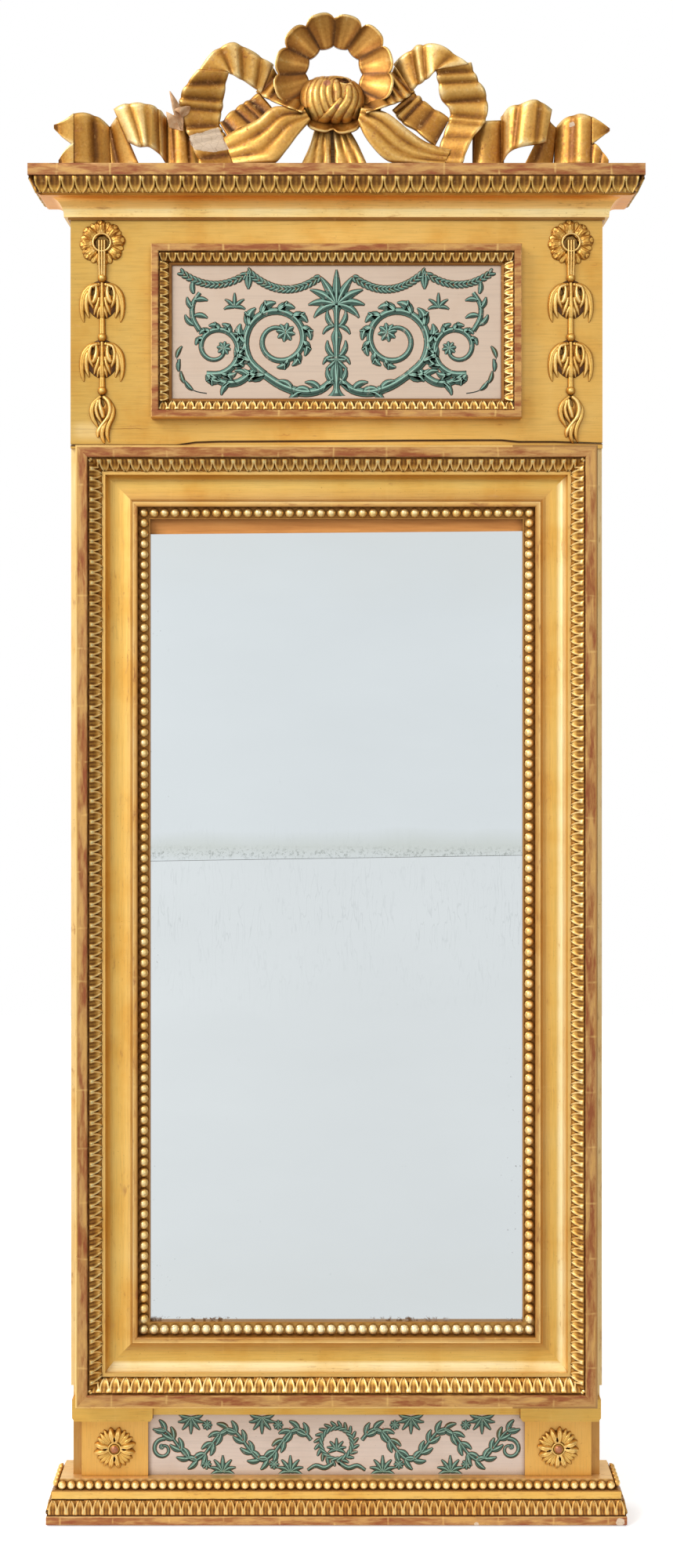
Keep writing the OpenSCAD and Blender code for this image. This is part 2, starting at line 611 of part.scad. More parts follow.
// Ribbons of the bow. Each is ruled between two edges, given at a few stations as
// [x, depth, height above the cornice] of the one edge and then of the other
LOOP_LEFT = [
    [[-54, 50, 88, -64, 50, 64], [-71, 58, 97, -74, 56, 70], [-87, 66, 102, -85, 63, 75],
     [-103, 68, 96, -91, 66, 77], [-117, 66, 80, -92, 67, 78]],
    [[-117, 66, 80, -92, 66, 78], [-128, 63, 68, -95, 60, 67], [-134, 58, 55, -98, 54, 50],
     [-131, 56, 38, -100, 52, 37], [-123, 58, 18, -93, 54, 23], [-117, 58, 0, -86, 56, 0]],
    [[-66, 48, 65, -52, 50, 48], [-80, 48, 56, -65, 52, 38], [-90, 50, 48, -78, 54, 33],
     [-100, 52, 38, -93, 56, 25]],
    [[-27, 66, 46, -22, 67, 37], [-52, 68, 48, -33, 68, 24], [-68, 66, 37, -42, 68, 12],
     [-81, 64, 32, -54, 66, 0], [-90, 60, 28, -72, 62, 0], [-97, 56, 24, -88, 58, 0]],
    [[-60, 50, 78, -68, 50, 66], [-49, 48, 63, -55, 49, 56], [-40, 48, 54, -45, 49, 47],
     [-29, 48, 48, -29, 49, 38]]];
LOOP_RIGHT = [
    [[49, 50, 89, 64, 50, 66], [62, 58, 98, 70, 56, 70], [75, 64, 102, 78, 62, 74],
     [93, 67, 98, 83, 66, 78], [112, 66, 84, 86, 66, 80]],
    [[114, 66, 86, 84, 65, 82], [120, 63, 73, 87, 60, 70], [127, 60, 62, 90, 56, 57],
     [129, 58, 51, 97, 53, 50], [127, 58, 38, 96, 52, 40], [115, 60, 21, 89, 54, 20],
     [107, 60, 0, 85, 56, 0]],
    [[65, 48, 66, 48, 50, 50], [74, 48, 59, 57, 52, 38], [82, 50, 52, 68, 54, 31],
     [97, 52, 42, 84, 56, 17]],
    [[21, 66, 48, 18, 67, 36], [42, 68, 43, 26, 68, 20], [61, 66, 29, 41, 67, 4],
     [74, 62, 21, 57, 64, 0], [88, 58, 16, 78, 60, 0],
     [98, 57, 14, 92, 58, 0]],
    [[58, 50, 76, 66, 50, 66], [50, 48, 63, 56, 49, 55], [40, 48, 53, 42, 49, 45],
     [23, 48, 50, 23, 49, 39]]];
TAIL_LEFT = [
    [[-115, 46, 42, -115, 46, 0], [-127, 50, 44, -127, 50, 0], [-137, 50, 46, -137, 50, 0],
     [-146, 46, 44, -146, 46, 0]],
    [[-146, 48, 44, -146, 48, 3], [-151, 56, 48, -151, 56, 10], [-160, 64, 51, -160, 64, 15],
     [-178, 66, 51, -168, 64, 15], [-190, 62, 47, -178, 60, 20]],
    [[-187, 58, 44, -168, 56, 0], [-190, 52, 40, -178, 50, 0], [-196, 46, 36, -194, 44, 0]],
    [[-195, 46, 36, -194, 44, 0], [-204, 52, 43, -204, 52, 0], [-215, 58, 45, -217, 58, 0],
     [-225, 60, 44, -225, 60, 0]],
    [[-224, 60, 44, -224, 60, 17], [-232, 61, 38, -234, 61, 24], [-241, 62, 34, -241, 62, 31]],
    [[-224, 60, 19, -224, 60, 0], [-231, 61, 13, -231, 61, 0], [-237, 62, 4, -237, 62, 0]]];
TAIL_RIGHT = [
    [[117, 46, 40, 117, 46, 0], [129, 50, 40, 129, 50, 0], [144, 47, 42, 144, 47, 0]],
    [[141, 48, 44, 142, 48, 3], [148, 58, 50, 147, 58, 11], [159, 64, 52, 157, 64, 15],
     [171, 66, 54, 170, 64, 17], [184, 60, 47, 179, 60, 20]],
    [[182, 56, 44, 160, 56, 0], [184, 50, 39, 174, 50, 0], [189, 46, 35, 186, 44, 0]],
    [[188, 46, 35, 187, 44, 0], [196, 52, 42, 196, 52, 0], [207, 58, 44, 208, 58, 0],
     [219, 60, 41, 219, 60, 0]],
    [[218, 60, 41, 218, 60, 18], [226, 61, 36, 226, 61, 24], [233, 62, 31, 233, 62, 29]],
    [[218, 60, 20, 218, 60, 0], [224, 61, 15, 224, 61, 0], [232, 62, 4, 232, 62, 0]]];
TAILS_KNOT = [
    [[-19, 50, 33, -5, 50, 33], [-23, 51, 19, -5, 50.4, 19], [-31, 55, 0, -5, 52, 0]],
    [[-3, 50, 33, 11, 50, 33], [-2, 50.4, 19, 19, 51, 19], [-1, 52, 0, 27, 55, 0]]];

// A point on the smooth curve through the list p, at s counted in stations
function smooth_at(p, s) = let (n = len(p) - 1, i = min(floor(s), n - 1), t = s - i,
    a = p[max(i - 1, 0)], b = p[i], c = p[i + 1], d = p[min(i + 2, n)])
    0.5 * (2 * b + (c - a) * t + (2 * a - 5 * b + 4 * c - d) * t * t + (3 * b - a - 3 * c + d) * t * t * t);

// One ribbon: its front lies in shallow folds from edge to edge, or along its length where it is
// gathered under the knot; its back is flat and its first edge is rolled
gathered_folds = 3;
fold_d = 1.1;
hem_d = ribbon_t + 0.6;
ribbon_rings = 4; // to a station
module ribbon(stations, gathered = false) {
    m = gathered ? 2 * gathered_folds : 2;
    n = (len(stations) - 1) * ribbon_rings;
    w = m + 3;
    rings = [for (i = [0 : n])
        let (s = smooth_at(stations, i / ribbon_rings), a = [s[0], -s[1], max(0, s[2])],
            b = [s[3], -s[4], max(0, s[5])])
        concat([for (j = [0 : m]) a + (b - a) * j / m + [0, (gathered ? j : i) % 2 == 1 ? 0 : fold_d, 0]],
            [b + [0, ribbon_t, 0], a + [0, ribbon_t, 0]])];
    points = [for (r = rings, p = r) p];
    sides = [for (i = [0 : n - 1], j = [0 : w - 1], half = [0, 1])
        let (k = (j + 1) % w, p = i * w + j, q = i * w + k)
        half == 0 ? [p, q, q + w] : [p, q + w, p + w]];
    ends = [[for (j = [w - 1 : -1 : 0]) j], [for (j = [0 : w - 1]) n * w + j]];
    faces = concat(sides, ends);
    across = points[m] - points[0];
    along = points[w] - points[0];
    leftward = across[2] * along[0] - across[0] * along[2] > 0;
    polyhedron(points, leftward ? faces : [for (f = faces) [for (i = [len(f) - 1 : -1 : 0]) f[i]]]);
    for (i = [1 : len(stations) - 1]) hull() for (s = [stations[i - 1], stations[i]])
        translate([s[0], (ribbon_t - fold_d) / 2 - s[1], max(hem_d / 2, s[2])]) sphere(d = hem_d, $fn = 8);
}
module ribbons(list, gathered = false) translate([0, 0, z_top]) for (r = list) ribbon(r, gathered);

// Outline radius of the rosette: lobes with a notch between them
function lobe(a) = rosette_r - rosette_notch * pow(1 - abs(sin(rosette_lobes * a / 2)), 2);

// The rosette: a dish of ribbon that falls from its lobed rim to its hole
module dish() translate([rosette_x, 0, z_top + rosette_up]) {
    n = rosette_lobes * rosette_steps;
    rows = 3;
    front = [for (i = [0 : rows], j = [0 : n - 1]) let (a = 360 * j / n, t = i / rows,
        r = rosette_hole_r + (lobe(a) - rosette_hole_r) * t,
        crest = 2 * t * (abs(sin(rosette_lobes * a / 2)) - 0.6))
        [r * cos(a), -rosette_hole_y - (rosette_rim_y - rosette_hole_y) * t - crest, r * sin(a)]];
    back = [for (i = [rows, 0], j = [0 : n - 1]) front[i * n + j] + [0, rosette_t, 0]];
    all = concat(front, back);
    polyhedron(all, [for (i = [0 : rows + 2], j = [0 : n - 1], half = [0, 1])
        let (k = (j + 1) % n, p = i * n, q = ((i + 1) % (rows + 3)) * n)
        half == 0 ? [p + j, p + k, q + k] : [p + j, q + k, q + j]]);
}

// The knot: one rounded lump with a flat back against the batten, blended from four domes
knot_round = 13;
module knot_lump() translate([knot_x, -batten_front, z_top + knot_up]) hull()
    for (x = [-1, 1], z = [-1, 1])
        translate([x * (knot_w / 2 - knot_round), 0, z * (knot_h / 2 - knot_round)]) rotate([90, 0, 0])
            rotate_extrude($fn = 28)
                polygon(concat([[0, 0]], [for (a = [0 : 15 : 90]) [knot_round * cos(a), knot_d * sin(a)]]));
module bow_knot() color(GOLD) knot_lump();
// Each lobe of the rosette has a ridge from the hole to the rim
module lobe_ridges() translate([rosette_x, 0, z_top + rosette_up]) for (i = [0 : rosette_lobes - 1]) {
    a = (i + 0.5) * 360 / rosette_lobes;
    hull() for (t = [[rosette_hole_r + 4, rosette_hole_y - 1], [rosette_r - 4, rosette_rim_y - 1]])
        translate([t[0] * cos(a), -t[1], t[0] * sin(a)]) sphere(d = ribbon_t, $fn = 8);
}
module ribbon_rosette() color(GOLD) difference() {
    union() {
        dish();
        lobe_ridges();
    }
    knot_lump();
}
module bow_loop(list) color(GOLD) difference() {
    ribbons(list);
    knot_lump();
    dish();
}
module ribbon_tail(list) color(GOLD) ribbons(list);
module knot_tails() color(GOLD) ribbons(TAILS_KNOT, true);
module cresting_batten() color(PINE) translate([knot_x - batten_w / 2, -batten_front, z_top])
    cube([batten_w, batten_t, batten_h]);

// Iron hanger: a strap with a knuckle, and the ring that swings in it about a level axis
module hanger_plate() color(IRON) {
    difference() {
        block([-knuckle_w / 2, rail_t - carcase_d, ring_z - plate_h],
            [knuckle_w / 2, rail_t - carcase_d + plate_t, ring_z]);
        hanger_nails(nail_bite);
    }
    difference() {
        translate([-knuckle_w / 2, -ring_y, ring_z]) rotate([0, 90, 0])
            cylinder(d = knuckle_d, h = knuckle_w, $fn = 48);
        translate([-knuckle_w, -ring_y, ring_z]) rotate([0, 90, 0])
            cylinder(d = ring_wire_d + 2 * pin_gap, h = 2 * knuckle_w, $fn = 48);
    }
}
module hanging_ring() color(IRON) translate([0, -ring_y, ring_z]) {
    translate([-ring_bow_r, 0, 0]) rotate([0, 90, 0]) cylinder(d = ring_wire_d, h = 2 * ring_bow_r, $fn = 32);
    for (s = [-1, 1]) translate([s * ring_bow_r, 0, -ring_leg]) {
        cylinder(d = ring_wire_d, h = ring_leg, $fn = 32);
        translate([0, 0, ring_leg]) sphere(d = ring_wire_d, $fn = 32);
    }
    translate([0, 0, -ring_leg]) rotate([90, 0, 0]) rotate([0, 0, 180])
        rotate_extrude(angle = 180, $fn = 64) translate([ring_bow_r, 0]) circle(d = ring_wire_d, $fn = 32);
}

side_stile(-1);  // side_stile_left
side_stile(1);  // side_stile_right
top_rail();
middle_rail();
bottom_rail();
base_front();
base_return(-1);  // base_return_left
base_return(1);  // base_return_right
base_beads();
base_leaves();
fascia_board();
cornice_front();
cornice_return(-1);  // cornice_return_left
cornice_return(1);  // cornice_return_right
cornice_leaves();
cornice_top_board();
frame_member("head");  // frame_head
frame_member("foot");  // frame_foot
frame_member("left");  // frame_stile_left
frame_member("right");  // frame_stile_right
frame_leaves("head");  // frame_leaves_head
frame_leaves("foot");  // frame_leaves_foot
frame_leaves("left");  // frame_leaves_left
frame_leaves("right");  // frame_leaves_right
frame_beads("head");  // frame_beads_head
frame_beads("foot");  // frame_beads_foot
frame_beads("left");  // frame_beads_left
frame_beads("right");  // frame_beads_right
glass_upper();
glass_lower();
glass_slips();
backboard(board_joint, opening_top - fit);  // backboard_upper
backboard(opening_foot + fit, board_joint);  // backboard_lower
back_nails();
picture_member("head");  // picture_frame_head
picture_member("foot");  // picture_frame_foot
picture_member("left");  // picture_frame_left
picture_member("right");  // picture_frame_right
picture_leaves();
upper_picture_panel();
lower_picture_panel();
lower_picture_fillet();
pedestal_block(-1);  // pedestal_block_left
pedestal_block(1);  // pedestal_block_right
pedestal_cap(-1);  // pedestal_cap_left
pedestal_cap(1);  // pedestal_cap_right
pedestal_rosette(-1);  // pedestal_rosette_left
pedestal_rosette(1);  // pedestal_rosette_right
husk_drop(-1);  // husk_drop_left
husk_drop(1);  // husk_drop_right
ribbon_rosette();
bow_knot();
bow_loop(LOOP_LEFT);  // bow_loop_left
bow_loop(LOOP_RIGHT);  // bow_loop_right
ribbon_tail(TAIL_LEFT);  // ribbon_tail_left
ribbon_tail(TAIL_RIGHT);  // ribbon_tail_right
knot_tails();
cresting_batten();
hanger_plate();
hanging_ring();
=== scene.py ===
"""Looks of a giltwood wall mirror with a ribbon bow, painted panels and an old silvered plate.

Lengths are millimetres in the CAD's frame (x to the right, y into the wall, z up) unless a name
says otherwise; S turns them into metres."""
import math
import random

import bpy
import bmesh
import numpy as np
from mathutils import Matrix, Vector


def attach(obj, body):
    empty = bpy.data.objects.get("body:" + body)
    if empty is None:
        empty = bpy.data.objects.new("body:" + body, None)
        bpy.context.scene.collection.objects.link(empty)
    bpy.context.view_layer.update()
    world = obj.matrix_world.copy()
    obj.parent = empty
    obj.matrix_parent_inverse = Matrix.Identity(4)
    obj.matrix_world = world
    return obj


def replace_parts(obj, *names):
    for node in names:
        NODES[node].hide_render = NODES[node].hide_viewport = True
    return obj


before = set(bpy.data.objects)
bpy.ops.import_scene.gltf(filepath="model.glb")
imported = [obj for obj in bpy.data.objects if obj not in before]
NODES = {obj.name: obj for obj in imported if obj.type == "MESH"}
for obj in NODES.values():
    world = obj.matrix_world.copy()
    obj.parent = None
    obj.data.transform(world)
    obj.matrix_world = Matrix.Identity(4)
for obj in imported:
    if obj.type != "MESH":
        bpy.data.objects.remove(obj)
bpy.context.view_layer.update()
S = 0.001

# where things are, from the CAD's own sizes
Z_TOP = 1163.0                        # top of the cornice, foot of the bow
FRAME_X = 222.4                       # half the width of the frame round the glass
FRAME_FOOT, FRAME_HEAD = 104.0, 924.0
FRAME_W = 62.0                        # width of the frame's moulding, as its colours are laid out
FOOT_SCALE = 1.0637                   # the foot's moulding is this much wider
FASCIA_Y, FRAME_Y = -36.0, -32.0      # the front of the fascia board and of the carcase
BOARD_MIDDLE_Y = -25.0                # halfway through the board behind the plates
PICTURE_X, PICTURE_FOOT, PICTURE_HEAD, PICTURE_W = 159.3, 949.2, 1098.6, 18.0
CORNICE_FOOT, CORNICE_W, BASE_W = 1121.0, 43.0, 37.0
SIGHT_FOOT = 169.1                    # lower edge of the glass that is seen


def linear(code):
    """An sRGB hex value as a linear colour."""
    out = []
    for i in (1, 3, 5):
        c = int(code[i:i + 2], 16) / 255
        out.append(c / 12.92 if c <= 0.04045 else ((c + 0.055) / 1.055) ** 2.4)
    return (*out, 1.0)


def add(tree, kind, inputs=None, **settings):
    """Adds one node: settings are its properties, inputs are values or sockets to link."""
    n = tree.nodes.new(kind)
    for k, v in settings.items():
        setattr(n, k, v)
    for k, v in (inputs or {}).items():
        if isinstance(v, bpy.types.NodeSocket):
            tree.links.new(v, n.inputs[k])
        else:
            n.inputs[k].default_value = v
    return n


def set_ramp(node, stops):
    """Gives a ramp its stops, each a place and a grey or a hex value."""
    e = node.color_ramp.elements
    while len(e) < len(stops):
        e.new(0.5)
    for k, (place, v) in zip(e, stops):
        k.position = place
        k.color = linear(v) if isinstance(v, str) else (v, v, v, 1)
    return node.outputs[0]


class Shade:
    """A material's tree with the few operations that all finishes here share."""

    def __init__(self, name):
        self.m = bpy.data.materials.new(name)
        self.m.use_nodes = True
        self.t = self.m.node_tree
        self.t.nodes.clear()
        pos = add(self.t, "ShaderNodeTexCoord").outputs["Object"]
        self.mm = add(self.t, "ShaderNodeVectorMath", {0: pos, 1: (1000, 1000, 1000)},
                      operation="MULTIPLY").outputs[0]
        self.x, self.y, self.z = add(self.t, "ShaderNodeSeparateXYZ", {0: self.mm}).outputs

    def math(self, op, a, b=0.0, c=0.0, clamp=False):
        """One sum on values or sockets; the next three are the commonest ones."""
        return add(self.t, "ShaderNodeMath", {0: a, 1: b, 2: c}, operation=op, use_clamp=clamp).outputs[0]

    def times(self, a, b, clamp=False):
        return self.math("MULTIPLY", a, b, clamp=clamp)

    def minus(self, a, b, clamp=False):
        return self.math("SUBTRACT", a, b, clamp=clamp)

    def times_plus(self, a, b, c):
        return self.math("MULTIPLY_ADD", a, b, c)

    def least(self, *values):
        """The least of some values."""
        out = values[0]
        for v in values[1:]:
            out = self.math("MINIMUM", out, v)
        return out

    def most(self, *values):
        """The greatest of those values that are given, or None where there are none."""
        out = None
        for v in values:
            if v is not None:
                out = v if out is None else self.math("MAXIMUM", out, v)
        return out

    def mix(self, f, a, b, blend="MIX"):
        """Colour a with a share f of colour b over it."""
        return add(self.t, "ShaderNodeMix", {0: f, 6: a, 7: b}, data_type="RGBA", blend_type=blend).outputs[2]

    def tint(self, f, colour, code):
        """A colour with a hex value laid over it."""
        return self.mix(f, colour, linear(code))

    def rise(self, v, lo, hi):
        """0 at lo and 1 at hi, straight between them."""
        return add(self.t, "ShaderNodeMapRange", {0: v, 1: lo, 2: hi}).outputs[0]

    def stretch(self, sx, sy, sz, shift=0.0):
        """The place in mm, divided by a length along each axis."""
        return add(self.t, "ShaderNodeMapping",
                   {0: self.mm, 1: (shift, shift, shift), 3: (1 / sx, 1 / sy, 1 / sz)}).outputs[0]

    def noise(self, sx, sy=None, sz=None, detail=3.0, rough=0.55, shift=0.0):
        """Noise whose features measure about sx, sy, sz mm."""
        v = self.stretch(sx, sy or sx, sz or sx, shift)
        return add(self.t, "ShaderNodeTexNoise",
                   {"Vector": v, "Scale": 1.0, "Detail": detail, "Roughness": rough}).outputs[0]

    def ramp(self, f, *stops):
        """A ramp of (place, grey or hex) stops."""
        return set_ramp(add(self.t, "ShaderNodeValToRGB", {0: f}), stops)

    def along(self, place, width, *stops):
        """A ramp whose stops are in mm across a section; place is a share of the section's width."""
        return self.ramp(place, *((mm / width, v) for mm, v in stops))

    def band(self, v, lo, hi, soft):
        """1 where v lies between lo and hi, with soft ends."""
        return self.minus(self.rise(v, lo - soft, lo + soft), self.rise(v, hi - soft, hi + soft), clamp=True)

    def spot(self, c, r):
        """1 inside a ragged ball of radius r about c."""
        d = add(self.t, "ShaderNodeVectorMath", {0: self.mm, 1: c}, operation="DISTANCE").outputs["Value"]
        return self.rise(self.times_plus(self.noise(r * 0.6), r * 0.5, d), r * 1.1, r)

    def flake_scar(self, corners):
        """1 inside a ragged polygon of (x, z) corners, clockwise as the viewer sees them."""
        sides = []
        for (x0, z0), (x1, z1) in zip(corners, corners[1:] + corners[:1]):
            long = math.hypot(x1 - x0, z1 - z0)
            nx, nz = (z1 - z0) / long, (x0 - x1) / long
            sides.append(self.times_plus(self.x, nx, self.times_plus(self.z, nz, -(x0 * nx + z0 * nz))))
        ragged = self.times_plus(self.noise(5, detail=3), 2.4, -1.2)
        return self.rise(self.math("ADD", self.least(*sides), ragged), 0.0, 0.5)

    def cracked_gesso(self):
        """Chalk ground laid bare: pale grey-pink with fine cracks."""
        crack = add(self.t, "ShaderNodeTexVoronoi", {"Vector": self.stretch(6, 6, 3.2), "Scale": 1.0},
                    feature="DISTANCE_TO_EDGE").outputs["Distance"]
        c = self.mix(self.noise(5, detail=5), linear("#C9B193"), linear(GESSO))
        return self.tint(self.ramp(crack, (0.0, 0.55), (0.05, 0.0)), c, "#8E7860")

    def occluded(self, mm):
        """1 in the open, 0 in a recess narrower than about mm."""
        return add(self.t, "ShaderNodeAmbientOcclusion", {"Distance": mm * S}, samples=8).outputs["AO"]

    def attribute(self, name, what="Fac"):
        """A value that the mesh carries at its points."""
        return add(self.t, "ShaderNodeAttribute", attribute_name=name).outputs[what]

    def finish(self, colour, rough, metal=None, height=None, depth_mm=0.15, strength=0.6, **own):
        """The shader; constants are set on its own sockets."""
        ins = {"Base Color": colour, "Roughness": rough}
        if metal is not None:
            ins["Metallic"] = metal
        if height is not None:
            ins["Normal"] = add(self.t, "ShaderNodeBump", {"Height": height, "Strength": strength,
                                                           "Distance": depth_mm * S}).outputs[0]
        ins.update(own)
        b = add(self.t, "ShaderNodeBsdfPrincipled", ins)
        add(self.t, "ShaderNodeOutputMaterial", {0: b.outputs[0]})
        return self.m


# gilding
GOLD = "#DDB25B"
BOLE = "#8A3F18"        # the red clay under the leaf
RUBBED = "#BE8E52"      # leaf so thin that the clay tints it
GESSO = "#D9C3AC"       # the chalk ground where both are lost
RECESS_DIRT_AND_SHADE = "#4B2B0D"        # old size and dirt in a recess, together with painted shade there
LEAF_SQUARE = 47.0      # how far apart the leaves' overlaps lie, as they show in the photograph


def gilt(name, wear, flat=GOLD, grain="x", laps=0.0, section=None, carved=None, recess=0.0, metal=0.62,
         rough=0.42, bare=(), red=(), patch=None, dim=None, raw=None, painted_highlight_heights=None):
    """Water gilding on red bole: leaf laid in squares, brushed and rubbed, with bole in the worn places.

    grain is the way the ground was smoothed; wear how much bole shows; laps how bright the
    overlaps of the leaves are; section(s) gives colour, wear and mattness by place in a moulding;
    carved is a ramp of colours by the attribute lift, 0 in the hollows and 1 on the crests, so painted
    shade with the dirt in the hollows and painted highlight on the crests, which get a brighter painted
    highlight between the two heights in painted_highlight_heights; recess is the width of a hollow that
    is darkened with dirt and painted shade; bare and red are balls of lost gesso and of bole, patch a
    polygon of lost gesso; dim is a colour that all is multiplied by; behind the depth raw the board was
    never gilded."""
    s = Shade(name)
    long = {"x": (26, 1.1, 1.1), "z": (1.1, 1.1, 26), None: (2.4, 2.4, 2.4)}[grain]
    base, worn, matt = section(s) if section else (None, None, None)
    if carved:
        lift = s.minus(s.attribute("lift"), 0.11)
        lift = s.times_plus(s.noise(2.2, detail=2), 0.22, lift)
        base = s.ramp(lift, *carved)
        # painted highlight on the crests between the two heights
        if painted_highlight_heights:
            painted_crest_highlight = s.ramp(lift, (0.22, 0.0), (0.55, 0.8))
            base = s.tint(s.times(s.band(s.z, *painted_highlight_heights, 1), painted_crest_highlight), base, "#FFF4CC")
    cloud = s.noise(48, detail=4, shift=3.1)
    tone = s.ramp(cloud, (0.30, "#FFFFFF"), (0.52, "#FCF6E6"), (0.70, "#F4E2BC"))
    colour = s.mix(1.0, base if base else linear(flat), tone, "MULTIPLY")
    streak = s.noise(*long, detail=5, rough=0.62)
    colour = s.mix(0.9, colour, s.ramp(streak, (0.28, 0.80), (0.5, 0.96), (0.70, 1.0)), "MULTIPLY")
    # bole rubbed through
    rubbed = s.noise(*(v * 0.45 + 3 for v in long), detail=6, rough=0.7, shift=9.0)
    rubbed = s.times_plus(cloud, 0.25, rubbed)
    if worn is not None:
        rubbed = s.times_plus(worn, 0.30, rubbed)
    gone = s.ramp(rubbed, (0.80 - wear * 0.42, 0.0), (0.98 - wear * 0.36, 0.85))
    field = s.noise(*(v * 1.1 + 5 for v in long), detail=5, rough=0.6, shift=5)
    bole = s.ramp(field, (0.39, "#D0A058"), (0.46, RUBBED), (0.53, "#A46A34"), (0.62, BOLE))
    colour = s.mix(gone, colour, bole)
    # overlaps of the leaf squares
    if laps:
        place = s.times_plus(s.noise(70, detail=1, shift=2), 9.0, s.x if grain == "x" else s.z)
        step = s.math("FRACT", s.math("DIVIDE", place, LEAF_SQUARE))
        broken = s.ramp(s.noise(9, detail=2), (0.40, 0.0), (0.55, 1.0))
        line = s.times(s.band(step, 0.02, 0.05, 0.012), broken)
        seen = laps * 0.16 if worn is None else s.times_plus(worn, laps * 0.5, laps * 0.14)
        colour = s.tint(s.times(line, seen), colour, "#F0C878")
    pits = s.ramp(s.noise(1.7, detail=2, shift=7), (0.70, 0.0), (0.78, 1.0))
    colour = s.tint(s.times(pits, 0.55), colour, "#7A4A1C")
    for c, r in red:
        colour = s.mix(s.spot(c, r), colour, s.mix(s.noise(3, detail=4), linear(BOLE), linear("#C08A66")))
    lost = s.most(*(s.spot(c, r) for c, r in bare), s.flake_scar(patch) if patch else None)
    if lost is not None:
        colour = s.mix(lost, colour, s.cracked_gesso())
    if raw is not None:
        behind = s.rise(s.y, raw - 0.3, raw + 0.3)
        colour = s.mix(behind, colour, s.ramp(streak, (0.3, "#7A5632"), (0.5, "#A17B4C"), (0.68, "#B8915E")))
        lost = s.most(lost, behind)
    # hollows, and boards under overhanging parts, darkened: dirt together with painted shade
    if recess:
        dirt_and_painted_shade = s.ramp(s.occluded(recess), (0.15, 1.0), (0.45, 0.45), (0.80, 0.0))
        colour = s.tint(dirt_and_painted_shade, colour, RECESS_DIRT_AND_SHADE)
    if dim:
        colour = s.mix(1.0, colour, linear(dim), "MULTIPLY")
    dull = s.times_plus(gone, 0.22, s.times_plus(streak, 0.22, rough - 0.11))
    shine = s.times_plus(gone, -0.45, metal)
    if matt is not None:
        shine = s.times(shine, s.times_plus(matt, -0.8, 1.0))
    if lost is not None:
        shine = s.times(shine, s.minus(1.0, lost))
        dull = s.most(dull, s.times(lost, 0.8))
    high = s.times_plus(streak, 0.7, s.times_plus(pits, -0.5, s.times(gone, -0.25)))
    return s.finish(colour, dull, s.most(shine, 0.0), high, 0.16, 0.55)


def frame_section(s):
    """The frame's colours by u, the share of its width from the outer edge to the sight edge.

    Its right upright and foot get a painted highlight on the steep part, matt on the foot, and
    painted shade at the inner end; the head is dusky towards its inner end, and the outer edge on
    the right is painted dark as shade."""
    side = s.minus(FRAME_X, s.math("ABSOLUTE", s.x))
    foot = s.math("DIVIDE", s.minus(s.z, FRAME_FOOT), FOOT_SCALE)
    head = s.minus(FRAME_HEAD, s.z)
    right, left = s.minus(FRAME_X, s.x), s.math("ADD", FRAME_X, s.x)
    u = s.math("DIVIDE", s.least(side, s.least(foot, head)), FRAME_W)

    def by_mm(*stops):
        """A ramp across the frame's section."""
        return s.along(u, FRAME_W, *stops)

    # colours across the section hold painted light: painted highlights on the arrises at the outer edge and
    # at 47 mm, painted shade in the dark lines at 10 mm and 46 mm
    colour = by_mm((0, "#F0CC84"), (1.0, "#F0CC84"), (1.7, "#C99A5C"), (9.3, "#BC8850"), (10.2, "#8A5A2A"),
                   (11, "#6B4418"), (20.4, "#7A4E1E"), (21.2, "#F0C478"), (23.6, "#EABF70"),
                   (24.6, "#D6A650"), (27, "#E6BC66"), (31, "#E8C06A"), (38, "#ECC068"), (43, "#F0C876"),
                   (45.6, "#F6D084"), (46.4, "#A87838"), (47.0, "#FFE2A4"), (48.2, "#E8BC74"),
                   (50.6, "#C79450"), (51.4, "#A87634"), (60.2, "#A87634"), (60.5, "#C08C46"),
                   (FRAME_W, "#9A6C34"))
    # the right upright and the foot: a painted highlight on the steep part of the scotia, matt on the foot,
    # and painted shade at the inner end below
    right_and_foot = s.math("LESS_THAN", s.least(right, foot), s.least(left, head))
    at_foot = s.math("LESS_THAN", foot, right)
    painted_scotia_highlight = by_mm((24.4, 0.0), (25.4, 0.85), (30, 0.85), (33, 0.0))
    matt = s.times(at_foot, by_mm((23.8, 0.0), (24.6, 1.0), (28.5, 1.0), (31, 0.0)))
    painted_scotia_highlight = s.math("ADD", s.times(painted_scotia_highlight, s.minus(1.0, at_foot)), s.times(matt, 0.9))
    colour = s.tint(s.times(right_and_foot, painted_scotia_highlight), colour, "#FFEDBE")
    # the head darker towards its inner end; the right outer edge and the inner end of the right upright and
    # foot darker as painted shade
    dusk = s.times(s.math("LESS_THAN", head, side),
                   by_mm((34, 0.0), (38, 0.25), (42, 0.45), (46, 0.6), (46.6, 0.0)))
    edge = s.times(s.math("GREATER_THAN", s.x, 150.0), by_mm((0, 0.8), (1.4, 0.8), (2.0, 0.0)))
    dirt = s.times(right_and_foot, by_mm((37, 0.0), (42, 0.45), (46, 0.62), (46.6, 0.0)))
    for mask, code in ((dusk, "#A87036"), (edge, "#96683A"), (dirt, "#A87036")):
        colour = s.tint(mask, colour, code)
    # the foot's bead lane lightened: a painted highlight
    groove = s.times(s.band(u, 51.6 / FRAME_W, 60.3 / FRAME_W, 0.3 / FRAME_W), s.band(s.z, 150, 172, 1))
    colour = s.tint(s.times(groove, 0.7), colour, "#E2B868")
    worn = by_mm((0, 0.1), (1.6, 0.1), (2.4, 1.0), (10, 1.0), (10.6, 0.0), (46.6, 0.0), (48, 0.35),
                 (51, 0.35), (51.6, 0.0))
    return colour, worn, s.times(matt, right_and_foot)


